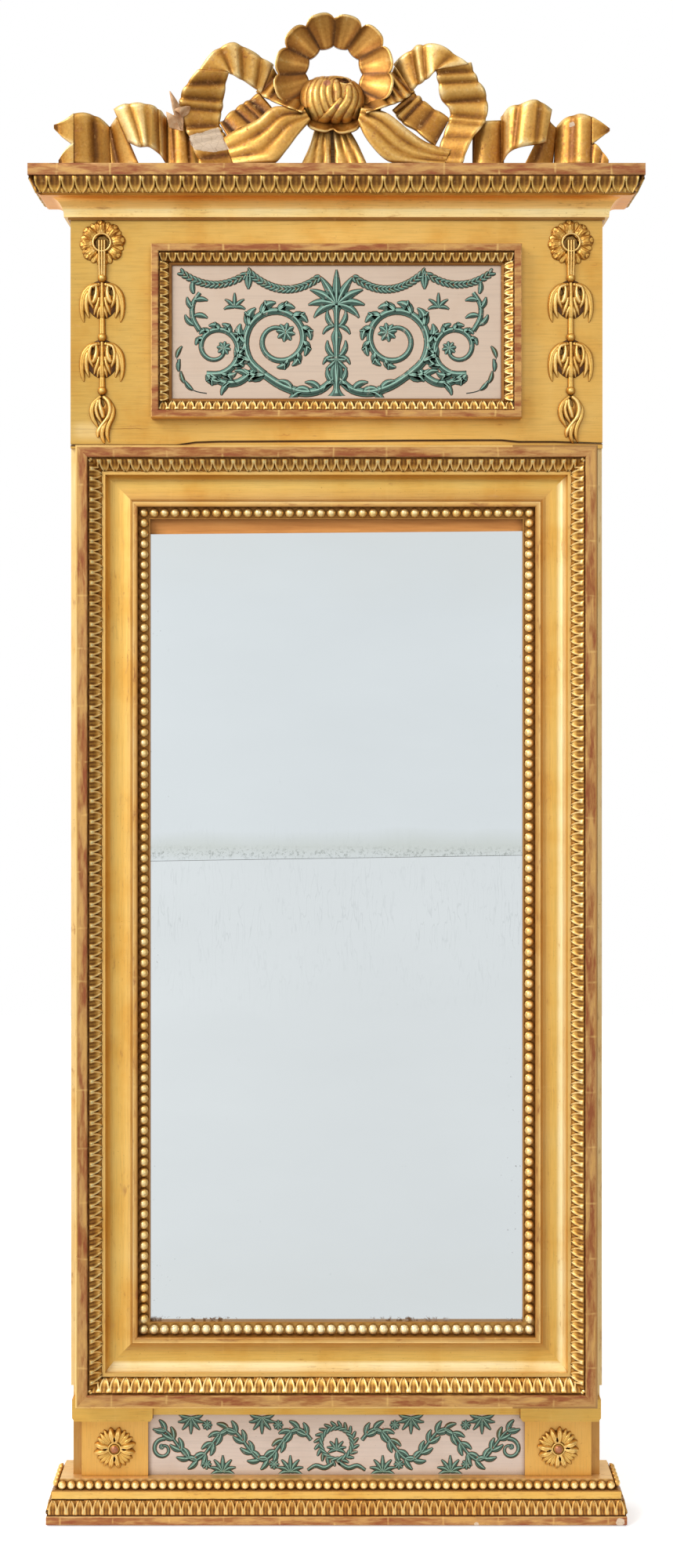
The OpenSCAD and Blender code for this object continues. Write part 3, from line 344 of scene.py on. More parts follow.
def picture_section(s):
    """The small frame round the upper picture: worn fillet, leaf bed, lip."""
    side = s.minus(PICTURE_X, s.math("ABSOLUTE", s.x))
    u = s.least(side, s.least(s.minus(s.z, PICTURE_FOOT), s.minus(PICTURE_HEAD, s.z)))
    u = s.math("DIVIDE", u, PICTURE_W)
    colour = s.along(u, PICTURE_W, (0, "#E9BE78"), (0.6, "#E9BE78"), (1.2, "#C08A56"), (5.9, "#B98250"),
                     (6.5, "#6C421A"), (7, "#4A2A0C"), (14.7, "#4A2A0C"), (15, "#A8722F"), (16.4, "#8A5B25"),
                     (PICTURE_W, "#6B431D"))
    return colour, s.along(u, PICTURE_W, (0, 0.2), (1.3, 1.0), (6.2, 1.0), (6.8, 0.0)), None


def cornice_section(s):
    """The cornice by height: foot fillet dark at its foot as painted shadow and bright above as painted
    highlight, cove, soffit in painted shade, leaf bed, worn band painted lighter at its top and darker below
    as light and shade.
    """
    h = s.math("DIVIDE", s.minus(s.z, CORNICE_FOOT), CORNICE_W)
    colour = s.along(h, CORNICE_W, (0, "#9A6A2C"), (1.2, "#C08A40"), (2.2, "#FFE2A0"), (8.0, "#FFE8AC"),
                     (9.2, "#FFD488"), (11, "#FFCC7A"), (14, "#FFCA74"), (16, "#F8B860"), (17.4, "#E09838"),
                     (20, "#B87C34"), (31.6, "#7A5020"), (32.4, "#8F5E36"), (35, "#AC7549"),
                     (38.5, "#C38E5B"), (42, "#D5A571"), (CORNICE_W, "#D9AE78"))
    return colour, s.along(h, CORNICE_W, (0, 0.1), (32, 0.1), (33, 1.0), (CORNICE_W, 1.0)), None


def base_section(s):
    """The base by height: red-brown foot fillet, leaf bed, gold band, bead bed."""
    h = s.math("DIVIDE", s.z, BASE_W)
    colour = s.along(h, BASE_W, (0, "#80522C"), (1.0, "#A06E40"), (6.4, "#A87446"), (7.2, "#D6AC72"),
                     (7.9, "#8A5A2C"), (9, "#7A5022"), (20.4, "#8A5C28"), (21.4, "#EEC46C"),
                     (26.9, "#E6B862"), (27.8, "#9C6E34"), (33.6, "#B08040"), (34.2, "#D8A85C"),
                     (35.2, "#E8BC72"), (36, "#F0C88A"), (BASE_W, "#F0C88A"))
    return colour, s.along(h, BASE_W, (0, 1.0), (6.6, 1.0), (7.4, 0.2), (BASE_W, 0.1)), None


def edge_section(s):
    """The carcase's sides: pale beside the frame, darker gold beside the pedestals."""
    return s.ramp(s.math("DIVIDE", s.z, 1200.0), (0.083, "#B98A48"), (0.088, "#F2D8A2")), None, None


def dress(mat, *names):
    """Gives carried-over CAD nodes a material."""
    for n in names:
        NODES[n].data.materials.clear()
        NODES[n].data.materials.append(mat)


# materials of the carried-over nodes
def bare_pine(name, grain="z"):
    """Softwood board, planed and grown brown with age: year rings along the grain, and dirt."""
    s = Shade(name)
    long = (9, 9, 130) if grain == "z" else (130, 9, 9)
    lines = s.math("FRACT", s.times(s.noise(*long, detail=2, rough=0.4), 11.0))
    fibre = s.noise(*(v * 0.12 + 0.3 for v in long), detail=4)
    wood = s.ramp(lines, (0.0, "#8A5B2E"), (0.25, "#B98A52"), (0.8, "#CFA56C"), (1.0, "#94642F"))
    wood = s.mix(0.6, wood, s.ramp(fibre, (0.3, 0.55), (0.7, 1.0)), "MULTIPLY")
    wood = s.mix(0.6, wood, s.ramp(s.noise(60, detail=5), (0.35, 1.0), (0.7, 0.55)), "MULTIPLY")
    rough = s.ramp(fibre, (0.2, 0.6), (0.8, 0.85))
    return s.finish(wood, rough, None, s.math("ADD", lines, fibre), 0.12, 0.5)


def stained_board(name):
    """Board above the glass: ochre-stained wood with the frame's shadow painted on it, left raw behind."""
    s = Shade(name)
    f = s.noise(60, 5, 4, detail=5)
    c = s.ramp(f, (0.3, "#C9813C"), (0.55, "#E39A50"), (0.75, "#EEA85E"))
    # painted shadow of the frame, in the board's corners
    c = s.tint(s.ramp(s.occluded(6), (0.10, 0.9), (0.6, 0.0)), c, "#5E3A16")
    behind = s.rise(s.y, BOARD_MIDDLE_Y - 0.5, BOARD_MIDDLE_Y + 0.5)
    c = s.mix(behind, c, s.ramp(f, (0.35, "#755230"), (0.5, "#94703F"), (0.65, "#B08A58")))
    return s.finish(c, s.ramp(f, (0.2, 0.7), (0.8, 0.85)), None, f, 0.1, 0.4)


def silvered(name, tint, foxed, seam=None, chipped=None):
    """Old mercury-silvered plate: bluish grey, hazy bands of foxing, and specks where the foil is lost.

    foxed lists bands as height, half width, strength and colour; the foil has fine wrinkles in the
    lower plate, dirt just above the height seam and chips just above the height chipped."""
    s = Shade(name)
    c = s.mix(1.0, linear(tint), s.ramp(s.noise(150, 150, 60, detail=5), (0.3, 0.97), (0.7, 1.0)), "MULTIPLY")
    wave = s.noise(90, detail=4, shift=11)
    for z, half, share, brown in foxed:
        off = s.times_plus(wave, half * 1.6, s.math("ABSOLUTE", s.minus(s.z, z)))
        c = s.tint(s.times(s.rise(off, half * 1.9, half * 0.8), share), c, brown)
    # wrinkles, drawn as wide as they need to show
    ripple = s.math("ABSOLUTE", s.minus(s.noise(3.4, 3.4, 24, detail=1, rough=0.4), 0.5))
    zone = s.times(s.band(s.z, 470, 566, 45), s.ramp(s.noise(34, detail=3), (0.36, 0.0), (0.60, 1.0)))
    c = s.tint(s.times(s.times(s.ramp(ripple, (0.0, 1.0), (0.035, 0.0)), zone), 0.16), c, "#838C8C")
    if seam:
        dirt = s.ramp(s.noise(2.2, detail=5, rough=0.75, shift=2), (0.50, 0.0), (0.62, 1.0))
        c = s.tint(s.times(s.times(dirt, 0.6), s.band(s.z, seam, seam + 7, 4)), c, "#6F766E")
    # specks, most of them near the upright edges
    inward = s.math("DIVIDE", s.minus(GLASS_X, s.math("ABSOLUTE", s.x)), 40.0)
    rim = s.ramp(inward, (0.30, 1.0), (0.95, 0.0))
    speck = s.ramp(s.noise(3.2, detail=4, rough=0.7, shift=4), (0.64, 0.0), (0.68, 1.0))
    few = s.ramp(s.noise(42, detail=2, shift=8), (0.52, 0.0), (0.60, 1.0))
    lost = s.times(speck, s.times(few, s.times_plus(rim, 0.9, 0.06)), clamp=True)
    c = s.tint(lost, c, "#3A3A38")
    if chipped:
        torn = s.ramp(s.noise(5, detail=4, rough=0.7, shift=12), (0.50, 0.0), (0.57, 1.0))
        torn = s.times(torn, s.ramp(s.noise(60, detail=1, shift=5), (0.47, 0.0), (0.56, 1.0)))
        low = s.rise(s.times_plus(s.noise(4, detail=3), 5.0, s.z), chipped + 6.0, chipped + 4.0)
        torn = s.times(torn, low)
        c = s.tint(torn, c, "#6E5236")
        lost = s.most(lost, torn)
    rough = s.times_plus(s.noise(30, detail=3), 0.05, s.times_plus(lost, 0.5, 0.05))
    return s.finish(c, rough, s.minus(1.0, s.times(lost, 0.8)), s.noise(120, detail=1), 0.02, 0.05)


def painted_ground(name, tint, dirt):
    """Distemper on gesso, laid with a wide brush along the panel, specked, and darker at its rim as painted
    shade.
    """
    s = Shade(name)
    brush = s.noise(70, 2, 1.5, detail=5, rough=0.65)
    c = s.mix(1.0, linear(tint), s.ramp(brush, (0.28, 0.87), (0.5, 0.97), (0.72, 1.0)), "MULTIPLY")
    c = s.tint(s.ramp(s.noise(38, detail=5, shift=3), (0.5, 0.0), (0.75, 0.35)), c, dirt)
    pits = s.ramp(s.noise(1.5, detail=3, shift=6), (0.69, 0.0), (0.75, 1.0))
    c = s.tint(s.times(pits, 0.5), c, "#7C6A58")
    # painted shade at the rim, beside the frame
    c = s.tint(s.ramp(s.occluded(7), (0.3, 0.75), (0.85, 0.0)), c, "#6E5846")
    return s.finish(c, s.ramp(brush, (0.2, 0.62), (0.8, 0.8)), None, s.minus(brush, pits), 0.08, 0.45)


def forged_iron(name):
    """Hammered iron, blackened and rusted in places."""
    s = Shade(name)
    dent = s.noise(3.2, detail=3)
    rust = s.ramp(s.noise(6, detail=6, rough=0.7), (0.48, 0.0), (0.66, 0.8))
    c = s.tint(rust, s.ramp(dent, (0.3, "#2F2C2A"), (0.7, "#4C4845")), "#6B3A1F")
    return s.finish(c, s.times_plus(rust, 0.35, 0.42), s.times_plus(rust, -0.7, 0.9), dent, 0.25, 0.6)


def fascia_section(s):
    """The flat board by its width: darker at the ends as painted shade, an old split along its foot, a
    fine hairline on the left and a paler patch beside it."""
    share = s.times_plus(s.x, 1 / 460.0, 0.5)
    # darker towards both ends, most on the left: painted shade
    base = s.ramp(share, (0.0, "#C6A052"), (0.22, "#D8B060"), (0.5, "#EABF6C"), (1.0, "#DCB05E"))
    h = s.minus(s.z, FRAME_HEAD)
    split = s.ramp(share, (0.0, 0.26), (0.20, 0.24), (0.235, 0.49), (0.28, 0.56), (0.75, 0.68), (0.81, 0.68),
                   (0.842, 0.54), (0.91, 0.54), (1.0, 0.40))
    off = s.math("ABSOLUTE", s.minus(h, s.times(split, 10.0)))
    base = s.tint(s.rise(off, 1.5, 0.4), base, "#5A3410")
    hair = s.math("ABSOLUTE", s.math("ADD", s.times_plus(s.noise(30, detail=2), 5.0, h), -19.0))
    hair = s.times(s.ramp(hair, (0.0, 0.7), (0.5, 0.0)), s.band(s.x, -228, -165, 4))
    base = s.tint(hair, base, "#7A4A18")
    pale = s.times(s.band(s.x, -228, -200, 6), s.band(h, 8, 22, 3))
    return s.tint(s.times(pale, 0.35), base, "#F5DCA4"), None, None


GLASS_X = 176.0         # half the width of the glass that is seen
CHIPS = (((243, -52, 3), 4.5), ((-243, -50, 2), 3), ((120, -53, 1), 2.5))
# recess: hollows narrower than this many mm, and boards beside overhangs, get dirt and painted shade
M = {
    "flat_x": gilt("gilding_on_level_mouldings", wear=0.14, laps=0.6, recess=2),
    "frame_x": gilt("gilding_on_frame_head_and_foot", wear=0.17, laps=0.6, section=frame_section, recess=1.6),
    "frame_z": gilt("gilding_on_frame_uprights", grain="z", wear=0.17, laps=0.6, section=frame_section,
                    recess=1.6),
    "fascia": gilt("gilding_on_fascia", laps=0.3, wear=0.10, section=fascia_section, recess=8, raw=-32.4),
    "cornice": gilt("gilding_on_cornice", wear=0.17, laps=0.8, section=cornice_section, recess=1.5),
    "picture": gilt("gilding_on_picture_frame", wear=0.2, laps=0.8, section=picture_section, recess=5),
    "base": gilt("gilding_on_base", wear=0.2, laps=0.6, section=base_section, recess=1.5, bare=CHIPS),
    "block": gilt("gilding_on_pedestals", flat="#DFAC5A", grain="z", laps=0.3, wear=0.12, recess=3),
    "edge": gilt("gilding_on_carcase_sides", grain="z", wear=0.25, metal=0.45, section=edge_section,
                 raw=-0.8),
    "pine": bare_pine("aged_pine_upright"),
    "pine_x": bare_pine("aged_pine_level", grain="x"),
    "board": stained_board("stained_pine_board"),
    "glass_up": silvered("mercury_silvered_plate_upper", "#D9E0E3",
                         ((579, 13, 0.46, "#BEC4B8"), (850, 60, 0.14, "#D0CFC4")), seam=570),
    "glass_low": silvered("mercury_silvered_plate_lower", "#DAE0E2", ((200, 40, 0.10, "#CBCDC6"),),
                          chipped=SIGHT_FOOT),
    "ground_up": painted_ground("distemper_on_gesso_upper", "#D6BFAA", "#C4A58B"),
    "ground_low": painted_ground("distemper_on_gesso_lower", "#D9C6B8", "#BCA493"),
    "iron": forged_iron("forged_iron")}

PICTURE_FRAME = "picture_frame_head picture_frame_foot picture_frame_left picture_frame_right"
for key, nodes in (("pine", "backboard_lower"), ("board", "backboard_upper"),
                   ("edge", "side_stile_left side_stile_right"),
                   ("pine_x", "top_rail middle_rail bottom_rail cresting_batten glass_slips"),
                   ("fascia", "fascia_board"),
                   ("cornice", "cornice_front cornice_return_left cornice_return_right cornice_top_board"),
                   ("base", "base_front base_return_left base_return_right"),
                   ("frame_x", "frame_head frame_foot"), ("frame_z", "frame_stile_left frame_stile_right"),
                   ("picture", PICTURE_FRAME),
                   ("flat_x", "pedestal_cap_left pedestal_cap_right lower_picture_fillet"),
                   ("block", "pedestal_block_left pedestal_block_right"),
                   ("glass_up", "glass_upper"), ("glass_low", "glass_lower"),
                   ("ground_up", "upper_picture_panel"), ("ground_low", "lower_picture_panel"),
                   ("iron", "hanger_plate hanging_ring back_nails")):
    dress(M[key], *nodes.split())


# meshes of the carved pieces
def new_object(name, mesh, mat, body="mirror"):
    """An object at the origin with one material, riding on a body."""
    mesh.materials.clear()
    mesh.materials.append(mat)
    mesh.polygons.foreach_set("use_smooth", [True] * len(mesh.polygons))
    o = bpy.data.objects.new(name, mesh)
    bpy.context.scene.collection.objects.link(o)
    if body:
        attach(o, body)
    return o


class Build:
    """Collects grids and rings of points into one mesh with a lift value at each point."""

    def __init__(self):
        self.v, self.f, self.l = [], [], []

    def sheet(self, rows, lifts, back=None, round_=False):
        """A grid of points seen from the front; back(p) gives the matching point behind, which closes it.
        round_ joins each row's last point to its first."""
        n, m, o = len(rows), len(rows[0]), len(self.v)
        self.v += [p for r in rows for p in r]
        self.l += [q for r in lifts for q in r]
        cols = m if round_ else m - 1
        cells = [(i, j, (j + 1) % m) for i in range(n - 1) for j in range(cols)]
        self.f += [(o + i * m + j, o + i * m + k, o + (i + 1) * m + k, o + (i + 1) * m + j)
                   for i, j, k in cells]
        if back is None:
            return
        b = len(self.v)
        self.v += [back(p) for r in rows for p in r]
        self.l += [BEHIND_LIFT] * (n * m)
        self.f += [(b + i * m + j, b + (i + 1) * m + j, b + (i + 1) * m + k, b + i * m + k)
                   for i, j, k in cells]
        edge = [(0, j, 0, (j + 1) % m) for j in range(cols)]
        edge += [(n - 1, (j + 1) % m, n - 1, j) for j in range(cols)]
        if not round_:
            edge += [(i + 1, 0, i, 0) for i in range(n - 1)]
            edge += [(i, m - 1, i + 1, m - 1) for i in range(n - 1)]
        for i, j, i2, j2 in edge:
            self.f.append((o + i2 * m + j2, o + i * m + j, b + i * m + j, b + i2 * m + j2))

    def make(self, name, mat, slot="gilding", body="mirror"):
        """The finished object, its faces turned outwards."""
        me = bpy.data.meshes.new(name)
        me.from_pydata([(a * S, b * S, c * S) for a, b, c in self.v], [], self.f)
        me.update()
        me.attributes.new("lift", "FLOAT", "POINT").data.foreach_set("value", self.l)
        o = new_object(name, me, mat, body=body)
        bm = bmesh.new()
        bm.from_mesh(me)
        bmesh.ops.recalc_face_normals(bm, faces=bm.faces)
        bm.to_mesh(me)
        bm.free()
        return o


def ease(a, b, x):
    """0 up to a and 1 from b on, with a smooth rise between them."""
    x = max(0.0, min(1.0, (x - a) / (b - a)))
    return x * x * (3 - 2 * x)


UNIT_BACK = 1.2                         # how far a leaf's back is let into its bed
BEHIND_LIFT = 0.1                       # lift of the points that close a sheet behind


def leaf_unit(name, pitch, long, high, rim, dart, point=2.0, close=0.30):
    """One carved leaf of a run as a closed relief. Local x runs along the strip, y from the root to
    the tip, z out of the bed. Neighbouring rims join at the root in a rounded club, part at close
    and meet again at the leaf's tip; a dart stands between two tips."""
    b = Build()
    half = pitch / 2
    rows, lifts = [], []
    for t in (0.0, 0.05, 0.13, 0.24, 0.36, 0.50, 0.64, 0.78, 0.90, 0.97, 1.0):
        s = max(0.0, (t - close) / (1 - close))
        w = half * max(0.0, 1 - s ** point) ** 0.62
        r = min(rim, w * 0.5)
        parted = ease(close, close + 0.16, t)
        foot = ease(-0.02, 0.10, t)
        swell = 1.0 + 0.35 * math.exp(-((t - 0.16) / 0.12) ** 2)
        spear = dart * ease(0.66, 0.80, t) * (1 - ease(0.95, 1.0, t) * 0.6)
        top = 1 - ease(0.965, 1.0, t) * 0.6
        rise = 0.96 * foot * top
        gap = (1 - parted) * foot - 0.08 * parted
        cols = [(0, (0.45 - 0.2 * t) * foot * top), (0.34 * w, 0.16),
                (max(0.2, w - 1.75 * r * swell), 0.12 + 0.1 * parted), (w - 0.85 * r, rise),
                (w - 0.10 * r, parted * 0.45 + (1 - parted) * rise),
                (w + 0.5 * (half - w), parted * (0.02 + 0.4 * spear) + (1 - parted) * rise),
                (half, gap + spear)]
        line = [(x, h) for x, h in reversed(cols)] + [(-x, h) for x, h in cols[1:]]
        rows.append([(x, t * long, max(-0.3, h) * high) for x, h in line])
        # lift: painted shade in the hollows and painted highlight on rims and midrib; glow is a painted
        # highlight down the leaf's middle towards its tip
        glow = 0.42 * ease(0.40, 0.85, t) * (1 - ease(0.96, 1.0, t))
        lifts.append([max(0.02, min(1.0, 0.16 + 0.84 * h + glow * (abs(x) < 0.9 * w))) for x, h in line])
    b.sheet(rows, lifts, back=lambda p: (p[0], p[1], -UNIT_BACK))
    return b.make(name, M["bed"], body=None)


def turned(radius, z, count):
    """A ring of points about the z axis."""
    around = [2 * math.pi * (j + 0.5) / count for j in range(count)]
    return [(radius * math.cos(a), radius * math.sin(a), z) for a in around]


def bead_unit(name, r):
    """A turned bead that stands a little in its bed, a few dozen faces."""
    b = Build()
    n = 10
    profile = ((1.0, -0.30), (0.99, 0.16), (0.86, 0.52), (0.55, 0.84), (0.18, 0.98))
    rows = [turned(r * q, r * h, n) for q, h in profile]
    # lift: painted highlight on the bead's front, painted shade round its sides
    lifts = [[0.30 + 0.65 * max(0, h) ** 1.2] * n for _, h in profile]
    b.sheet(rows, lifts, round_=True)
    b.f.append(tuple(range(len(b.v) - n, len(b.v))))
    b.f.append(tuple(range(n - 1, -1, -1)))
    return b.make(name, M["bed"], body=None)


def repeat_tree():
    """Geometry Nodes: instances of a unit in a straight run, a little uneven, made real, with a material."""
    t = bpy.data.node_groups.new("run_of_units", "GeometryNodeTree")
    ids = {}
    for name, kind in (("Unit", "Object"), ("Count", "Int"), ("Start", "Vector"), ("Step", "Vector"),
                       ("Turn", "Vector"), ("Uneven", "Float"), ("Seed", "Int"), ("Material", "Material")):
        ids[name] = t.interface.new_socket(name, in_out="INPUT", socket_type="NodeSocket" + kind).identifier
    t.interface.new_socket("Geometry", in_out="OUTPUT", socket_type="NodeSocketGeometry")
    i = t.nodes.new("NodeGroupInput").outputs
    line = add(t, "GeometryNodeMeshLine",
               {"Count": i["Count"], "Start Location": i["Start"], "Offset": i["Step"]}, mode="OFFSET")
    unit = add(t, "GeometryNodeObjectInfo", {"Object": i["Unit"], "As Instance": True})
    place = add(t, "GeometryNodeInstanceOnPoints", {"Points": line.outputs[0], "Rotation": i["Turn"],
                                                    "Instance": unit.outputs["Geometry"]})
    size = add(t, "FunctionNodeRandomValue", {"Seed": i["Seed"]}, data_type="FLOAT")
    for end, op in (("Min", "SUBTRACT"), ("Max", "ADD")):
        limit = add(t, "ShaderNodeMath", {0: 1.0, 1: i["Uneven"]}, operation=op).outputs[0]
        t.links.new(limit, [x for x in size.inputs if x.name == end and x.type == "VALUE"][0])
    scale = add(t, "GeometryNodeScaleInstances", {0: place.outputs[0]})
    t.links.new([x for x in size.outputs if x.type == "VALUE"][0], scale.inputs["Scale"])
    real = add(t, "GeometryNodeRealizeInstances", {0: scale.outputs[0]})
    done = add(t, "GeometryNodeSetMaterial", {0: real.outputs[0], "Material": i["Material"]})
    add(t, "NodeGroupOutput", {0: done.outputs[0]})
    return t, ids


def run(unit, count, start, step, along, local_y, uneven, seed, mat):
    """One run of a unit, as loose geometry. along and local_y are the unit's x and y in the room."""
    tree, ids = REPEAT
    host = bpy.data.objects.new("run", bpy.data.meshes.new("run"))
    bpy.context.scene.collection.objects.link(host)
    mod = host.modifiers.new("run", "NODES")
    mod.node_group = tree
    axes = [Vector(along).normalized(), Vector(local_y).normalized()]
    axes.append(Vector(along).cross(Vector(local_y)).normalized())
    turn = Matrix(axes).transposed().to_euler()
    for k, v in (("Unit", unit), ("Count", count), ("Start", [c * S for c in start]),
                 ("Step", [c * S for c in step]), ("Turn", list(turn)), ("Uneven", uneven), ("Seed", seed),
                 ("Material", M[mat])):
        mod[ids[k]] = v
    host.update_tag()
    bpy.context.view_layer.update()
    deps = bpy.context.evaluated_depsgraph_get()
    me = bpy.data.meshes.new_from_object(host.evaluated_get(deps), depsgraph=deps)
    host.modifiers.clear()
    bpy.data.objects.remove(host)
    return me


def strip(name, runs, mat, *stands_for):
    """Joins runs into one piece that stands for CAD nodes."""
    bm = bmesh.new()
    for loose in runs:
        bm.from_mesh(loose)
    me = bpy.data.meshes.new(name)
    bm.to_mesh(me)
    bm.free()
    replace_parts(new_object(name, me, M[mat]), *stands_for)


# finishes of the carved pieces: their ramps run by lift from painted shade and dirt in the hollows to painted
# highlight on the crests
CARVED = ((0.0, "#2A1604"), (0.16, "#4C2C0C"), (0.34, "#8C5E22"), (0.54, "#CC9844"), (0.76, "#F8CC7A"),
          (1.0, "#FFF0B8"))
CARVED_DARK = ((0.0, "#2C1804"), (0.16, "#4A2C0C"), (0.38, "#855820"), (0.60, "#BE8C3E"), (0.80, "#E2B660"),
               (1.0, "#F8D890"))
BEAD = ((0.0, "#7A4E1E"), (0.14, "#A87634"), (0.34, "#D8A558"), (0.60, "#F0C474"), (0.88, "#FFE0A0"),
        (1.0, "#FFF6D4"))
LEAFY = dict(grain=None, recess=1.6, rough=0.36)
M["bed"] = gilt("gilding_on_carved_leaves", carved=CARVED, wear=0.24, **LEAFY)
M["bed_dark"] = gilt("gilding_on_cornice_leaves", carved=CARVED_DARK, wear=0.24, **LEAFY)
M["bed_base"] = gilt("gilding_on_base_leaves", carved=CARVED, wear=0.28, dim="#E4D6C4", **LEAFY)
# the foot's row of beads gets a painted highlight on its crests
M["bead"] = gilt("gilding_on_turned_beads", grain=None, carved=BEAD, wear=0.12, recess=1.0, rough=0.30,
                 metal=0.6, painted_highlight_heights=(150, 173))
REPEAT = repeat_tree()


def spaced(length, pitch):
    """How many units fit in a length, and their even step."""
    n = max(1, int(length / pitch))
    return n, length / n


def runs_round(unit, pitch, lean, y, wide, levels, side_x, ends, uneven, seeds, mat):
    """Four runs round an opening: head, foot, left and right. Level runs are wide at the two heights in
    levels; upright ones stand side_x from the middle, between ends. lean is local y: inwards, forwards."""
    a, b = lean
    n, step = spaced(wide, pitch)
    out = [run(unit, n, (-sign * (wide - step) / 2, y, z), (sign * step, 0, 0),
               (sign, 0, 0), (0, -b, sign * a), uneven, seed, mat)
           for sign, z, seed in ((-1, levels[0], seeds[0]), (1, levels[1], seeds[1]))]
    top, foot = ends
    n, step = spaced(top - foot, pitch)
    for sign, seed in ((1, seeds[2]), (-1, seeds[3])):
        z = (top + foot + sign * (top - foot - step)) / 2
        out.append(run(unit, n, (-sign * side_x, y, z), (0, 0, -sign * step),
                       (0, 0, -sign), (sign * a, -b, 0), uneven, seed, mat))
    return out


def frame_runs(unit, pitch, inset, depth, lean, level_end, upright_end, uneven, seed, mat):
    """Runs on the main frame, rooted inset from its outer edge and depth in front of the carcase.
    level_end and upright_end are where runs stop short of that edge."""
    at = {k: (FRAME_HEAD - k, FRAME_FOOT + k * FOOT_SCALE) for k in (inset, upright_end)}
    return runs_round(unit, pitch, lean, FRAME_Y - depth, 2 * (FRAME_X - level_end), at[inset],
                      FRAME_X - inset, at[upright_end], uneven, range(seed, seed + 4), mat)


def moulding_runs(unit, pitch, half, reach, front, out, returns, z, lean, way, uneven, seeds, mat):
    """Runs along a moulding's front and its two returns. The bed stands out from a box that is half wide,
    whose front is at front; reach is the run's extra length. lean is local y: forwards, up."""
    forward, up = lean
    wide = 2 * (half + reach)
    n, step = spaced(wide, pitch)
    runs = [run(unit, n, (-way * (wide - step) / 2, front - out, z), (way * step, 0, 0),
                (way, 0, 0), (0, -forward, up), uneven, seeds[0], mat)]
    y0, y1 = returns
    n, step = spaced(y1 - y0, pitch)
    for side, seed in ((-1, seeds[1]), (1, seeds[2])):
        d = side * way
        y = y0 + step / 2 if d > 0 else y1 - step / 2
        runs.append(run(unit, n, (side * (half + out), y, z), (0, d * step, 0),
                        (0, d, 0), (side * forward, 0, up), uneven, seed, mat))
    return runs


LEAF_UNEVEN, BEAD_UNEVEN = 0.03, 0.02
LEAF_PITCH, SMALL_PITCH, BASE_PITCH, CORNICE_PITCH = 8.8, 7.5, 7.6, 11.3
BEAD_PITCH, FINE_PITCH = 8.95, 7.75
leaf = leaf_unit("unit_frame_leaf", LEAF_PITCH, 14.2, 1.9, rim=1.15, dart=0.6, point=2.3)
small = leaf_unit("unit_picture_leaf", SMALL_PITCH, 9.2, 1.6, rim=0.95, dart=0.3, close=0.2)
tall_leaf = leaf_unit("unit_base_leaf", BASE_PITCH, 12.4, 1.9, rim=1.1, dart=0.55, close=0.42, point=2.2)
drop_leaf = leaf_unit("unit_cornice_leaf", CORNICE_PITCH, 15.2, 2.2, rim=1.15, dart=1.0, point=2.6,
                      close=0.25)
bead = bead_unit("unit_frame_bead", 4.15)
fine_bead = bead_unit("unit_base_bead", 3.6)

frame_sides = ("head", "foot", "left", "right")
strip("leaf_run_frame",
      frame_runs(leaf, LEAF_PITCH, inset=10.7, depth=27.9, lean=(10.3, -10.0), level_end=10.6,
                 upright_end=10.6, uneven=LEAF_UNEVEN, seed=11, mat="bed"),
      "bed", *("frame_leaves_" + side for side in frame_sides))
strip("bead_run_frame",
      frame_runs(bead, BEAD_PITCH, inset=55.8, depth=6.4, lean=(1, 0), level_end=51.3,
                 upright_end=60.3, uneven=BEAD_UNEVEN, seed=21, mat="bead"),
      "bead", *("frame_beads_" + side for side in frame_sides))

# the upper picture's frame
PIC_ROOT, PIC_LEVEL_END, PIC_UPRIGHT_END, PIC_DEPTH = 6.7, 6.6, 14.6, 10.4
strip("leaf_run_picture",
      runs_round(small, SMALL_PITCH, lean=(8.3, -4.6), y=FASCIA_Y - PIC_DEPTH,
                 wide=2 * (PICTURE_X - PIC_LEVEL_END),
                 levels=(PICTURE_HEAD - PIC_ROOT, PICTURE_FOOT + PIC_ROOT), side_x=PICTURE_X - PIC_ROOT,
                 ends=(PICTURE_HEAD - PIC_UPRIGHT_END, PICTURE_FOOT + PIC_UPRIGHT_END),
                 uneven=LEAF_UNEVEN, seeds=(30, 32, 36, 34), mat="bed"),
      "bed", "picture_leaves")

# cornice: tips down and slightly back; base: tips up
HALF_C, HALF_B = 230.0, 228.0
TIPS_DOWN, TIPS_UP = -1, 1
strip("leaf_run_cornice",
      moulding_runs(drop_leaf, CORNICE_PITCH, HALF_C, reach=27, front=FASCIA_Y, out=31.2, returns=(-66, -2),
                    z=1153.2, lean=(-6.6, -14), way=TIPS_DOWN, uneven=LEAF_UNEVEN, seeds=(41, 43, 44),
                    mat="bed_dark"),
      "bed_dark", "cornice_leaves")
strip("leaf_run_base",
      moulding_runs(tall_leaf, BASE_PITCH, HALF_B, reach=19, front=FRAME_Y, out=20.2, returns=(-51, -1),
                    z=8.4, lean=(-2.8, 12.2), way=TIPS_UP, uneven=LEAF_UNEVEN, seeds=(51, 52, 53),
                    mat="bed_base"),
      "bed_base", "base_leaves")
strip("bead_run_base",
      moulding_runs(fine_bead, FINE_PITCH, HALF_B, reach=12, front=FRAME_Y, out=13.2, returns=(-44, -1),
                    z=31.7, lean=(0, 1), way=TIPS_UP, uneven=BEAD_UNEVEN, seeds=(61, 62, 63), mat="bead"),
      "bead", "base_beads")
for unit in (leaf, small, tall_leaf, drop_leaf, bead, fine_bead):
    bpy.data.objects.remove(unit)


